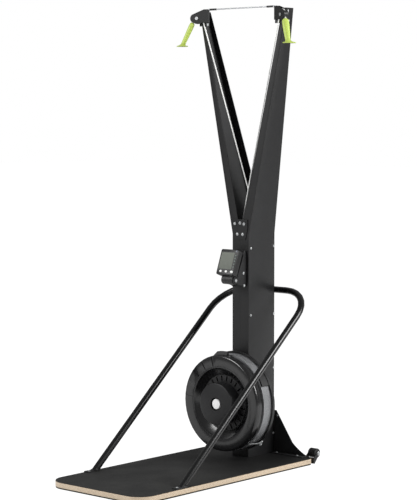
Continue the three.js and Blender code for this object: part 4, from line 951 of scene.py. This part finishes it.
for side, sign in SIDES:
    pulley = middle(side + "_top_pulley")
    grip_place = Vector((
        sign * (abs(pulley.x) + pulley_line * math.cos(toe)),
        pulley.y - pulley_line * math.sin(toe),
        pulley.z - grip_hang,
    ))
    grip = bmesh.new()
    ring = bmesh.ops.create_circle(grip, cap_ends=True, segments=48, radius=1)["verts"]
    edges = list(grip.edges)
    before = None
    for drop, half_x, half_y, tilt, offset in grip_rings:
        here = (
            Matrix.Translation((drop * math.tan(handle_tilt), offset, -drop))
            @ Matrix.Rotation(-tilt * handle_tilt, 4, "Y")
            @ Matrix.Diagonal((half_x, half_y, 1, 1))
        )
        if before:
            grown = bmesh.ops.extrude_edge_only(grip, edges=edges)["geom"]
            edges = [item for item in grown if isinstance(item, bmesh.types.BMEdge)]
            ring = [item for item in grown if isinstance(item, bmesh.types.BMVert)]
            bmesh.ops.transform(grip, matrix=here @ before.inverted(), verts=ring)
        else:
            bmesh.ops.transform(grip, matrix=here, verts=ring)
        before = here
    foot = bmesh.ops.holes_fill(grip, edges=edges, sides=48)["faces"]
    bmesh.ops.inset_region(grip, faces=foot, thickness=foot_wall, depth=0)
    sunk = bmesh.ops.inset_region(grip, faces=foot, thickness=foot_draft, depth=-foot_hollow)["faces"]
    for face in foot + sunk:
        face.material_index = 1
    bmesh.ops.recalc_face_normals(grip, faces=grip.faces)
    hand = Matrix.Rotation(-sign * handle_toe, 4, "Z") @ Matrix.Diagonal((sign, 1, 1, 1))
    bmesh.ops.transform(grip, matrix=Matrix.Translation(grip_place) @ hand, verts=grip.verts)
    if sign < 0:
        bmesh.ops.reverse_faces(grip, faces=grip.faces)
    grip_piece = finished(side + "_grip", grip, lime, side + "_handle_body", sharp=40)
    grip_piece.data.materials.append(hollow_painted_shade)
    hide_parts(side + "_handle")
    sleeve = spun(grip_sleeve_profile, steps=32)
    tilt_sleeve = Matrix.Translation(grip_place) @ hand @ Matrix.Rotation(-handle_tilt / 2, 4, "Y")
    bmesh.ops.transform(sleeve, matrix=tilt_sleeve, verts=sleeve.verts)
    bmesh.ops.recalc_face_normals(sleeve, faces=sleeve.faces)
    finished(side + "_grip_sleeve", sleeve, sleeve_white, side + "_handle_body")


# Vent band: a perforated sheet of light grey metal round the flywheel, through which it breathes.
# The holes are 2 mm, staggered, and read their angle round the hub and their depth. The hub cap in
# the middle of the grille is white plastic.
hub_height = middle("hub_cap").z
band_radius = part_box("vent_band")[1][0]
hole_pitch, row_share = 0.0042, 0.866
hole_share, hole_edge_share, hole_painted_shade = 0.2, 0.27, tint(30, 30, 31)
band_metal, band_tree, band_shader = bare_material("perforated grey band", 0.42, metallic=0.35)
band_place, band_x, band_y, band_z = coordinates(band_tree)
band_rise = maths(band_tree, "SUBTRACT", band_z, hub_height)
band_angle = maths(band_tree, "ARCTAN2", band_rise, band_x)
band_column = maths(band_tree, "MULTIPLY", band_angle, round(math.tau * band_radius / hole_pitch) / math.tau)
band_row = maths(band_tree, "DIVIDE", band_y, hole_pitch * row_share)
stagger = maths(band_tree, "MULTIPLY", maths(band_tree, "MODULO", maths(band_tree, "FLOOR", band_row), 2), 0.5)
in_column = maths(band_tree, "FRACT", maths(band_tree, "ADD", band_column, stagger))
from_column = maths(band_tree, "SUBTRACT", in_column, 0.5)
in_row = maths(band_tree, "SUBTRACT", maths(band_tree, "FRACT", band_row), 0.5)
from_row = maths(band_tree, "MULTIPLY", in_row, row_share)
from_hole = maths(
    band_tree, "SQRT",
    maths(band_tree, "ADD", maths(band_tree, "POWER", from_column, 2), maths(band_tree, "POWER", from_row, 2)),
)
band_wall = mapped(band_tree, from_hole, (hole_share, hole_edge_share))
band_grain = noise(band_tree, stretched(band_tree, band_place, (60, 900, 60)), scale=1, detail=4)
band_sheet = two_tones(band_tree, band_grain, (0.3, tint(126, 127, 129)), (0.7, tint(148, 149, 151)))
# The holes are painted dark, as painted shade of the housing's inside seen through them.
band_colour = blended(band_tree, band_wall, hole_painted_shade, band_sheet)
band_tree.links.new(band_colour, band_shader.inputs["Base Color"])
band_tree.links.new(bumped(band_tree, band_wall, distance=0.0004), band_shader.inputs["Normal"])
dress(band_metal, "vent_band")
cap_white = grained(
    "white cap plastic", tint(244, 244, 244), 0.35, colour_change=0.05, scale=900, depth=0.00005
)
dress(cap_white, "hub_cap")


# Monitor: a moulded black case with a grey-green display pane under a clear gloss, three white
# rubber keys and five small grey ones. It tilts on a block between two folded gussets, which two
# screws on each side hold to the column.
display_glass, pane_tree, pane_shader = bare_material("display pane", 0.14, coat=0.25)
pane_place, _, _, pane_z = coordinates(pane_tree)
pane_low, pane_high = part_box("display")
# Painted light: the pane is lighter towards its top.
pane_painted_light_share = mapped(pane_tree, pane_z, (pane_low[2], pane_high[2]))
pane_tone_with_painted_light = blended(pane_tree, pane_painted_light_share, tint(100, 104, 97), tint(112, 116, 108))
pane_cloud = maths(pane_tree, "MULTIPLY_ADD", noise(pane_tree, pane_place, scale=60, detail=5), 0.16, 0.92)
pane_tree.links.new(scaled_colour(pane_tree, pane_tone_with_painted_light, pane_cloud), pane_shader.inputs["Base Color"])
pane_smears = maths(pane_tree, "MULTIPLY_ADD", noise(pane_tree, pane_place, scale=35), 0.12, 0.1)
pane_tree.links.new(pane_smears, pane_shader.inputs["Roughness"])
dress(display_glass, "display")
key_rubber = grained("white key rubber", tint(238, 239, 236), 0.5, colour_change=0.1, scale=1500, depth=0.00006)
dress(key_rubber, "key_1", "key_2", "key_3")
grey_rubber = grained("grey key rubber", tint(96, 110, 102), 0.5, colour_change=0.12, scale=1500, depth=0.00006)
dress(grey_rubber, *("side_key_%d" % number for number in range(1, 6)))
pivot_centre = middle("pivot_bolt")
gusset_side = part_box("monitor_bracket")[1][0]
for side, sign in SIDES:
    spots = [
        ((sign * gusset_side, pivot_centre.y + depth, pivot_centre.z + height), (sign, 0, 0))
        for depth, height in ((0.060, 0.032), (0.066, -0.029))
    ]
    screws(side + "_gusset_screws", spots, radius=0.0055)
boss_grey = grained("grey boss plastic", tint(128, 132, 142), 0.45, colour_change=0.12, scale=900)
monitor_lean, boss_from_pivot = math.radians(-20.3), Vector((0.0455, -0.048, 0.1325))
monitor_turn = Matrix.Rotation(monitor_lean, 4, "X")
boss_place = pivot_centre + (monitor_turn @ boss_from_pivot)
boss = spun([(0, 0.0022), (0.0032, 0.0022), (0.0042, 0.0014), (0.0042, 0), (0, 0)])
bmesh.ops.transform(
    boss, matrix=facing_matrix(boss_place, monitor_turn @ Vector(FORWARDS)), verts=boss.verts
)
finished("monitor_boss", boss, boss_grey, "monitor")


# Transport wheels: hard black rubber with a moulded tread, each on an axle between two ears. A
# zinc-plated hexagon nut closes the axle on the outside of each ear.
wheel_black, tread_tree, tread_shader = bare_material("wheel rubber", 0.65)
tread_place, tread_x, _, _ = coordinates(tread_tree)
tread_frequency = 900
tread_wave = maths(
    tread_tree, "ABSOLUTE", maths(tread_tree, "SINE", maths(tread_tree, "MULTIPLY", tread_x, tread_frequency))
)
tread_dust = maths(tread_tree, "MULTIPLY_ADD", noise(tread_tree, tread_place, scale=90, detail=6), 0.5, 0.75)
tread_colour = tread_tree.nodes.new("ShaderNodeRGB")
tread_colour.outputs["Color"].default_value = tint(15, 15, 15)
tread_tree.links.new(
    scaled_colour(tread_tree, tread_colour.outputs["Color"], tread_dust), tread_shader.inputs["Base Color"]
)
tread_tree.links.new(bumped(tread_tree, tread_wave, distance=0.0006), tread_shader.inputs["Normal"])
dress(wheel_black, "left_wheel", "right_wheel")
for side, sign in SIDES:
    ear_low, ear_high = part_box(side + "_wheel_bracket")
    wheel_centre = middle(side + "_wheel")
    parts = []
    for edge, way in ((ear_low[0], -1), (ear_high[0], 1)):
        nut_frame = facing_matrix((edge, wheel_centre.y, wheel_centre.z), (way, 0, 0))
        parts.append((hexagon_nut(radius=0.0085, rise=0.005), nut_frame))
    finished(side + "_wheel_nuts", joined("nuts", parts), zinc)
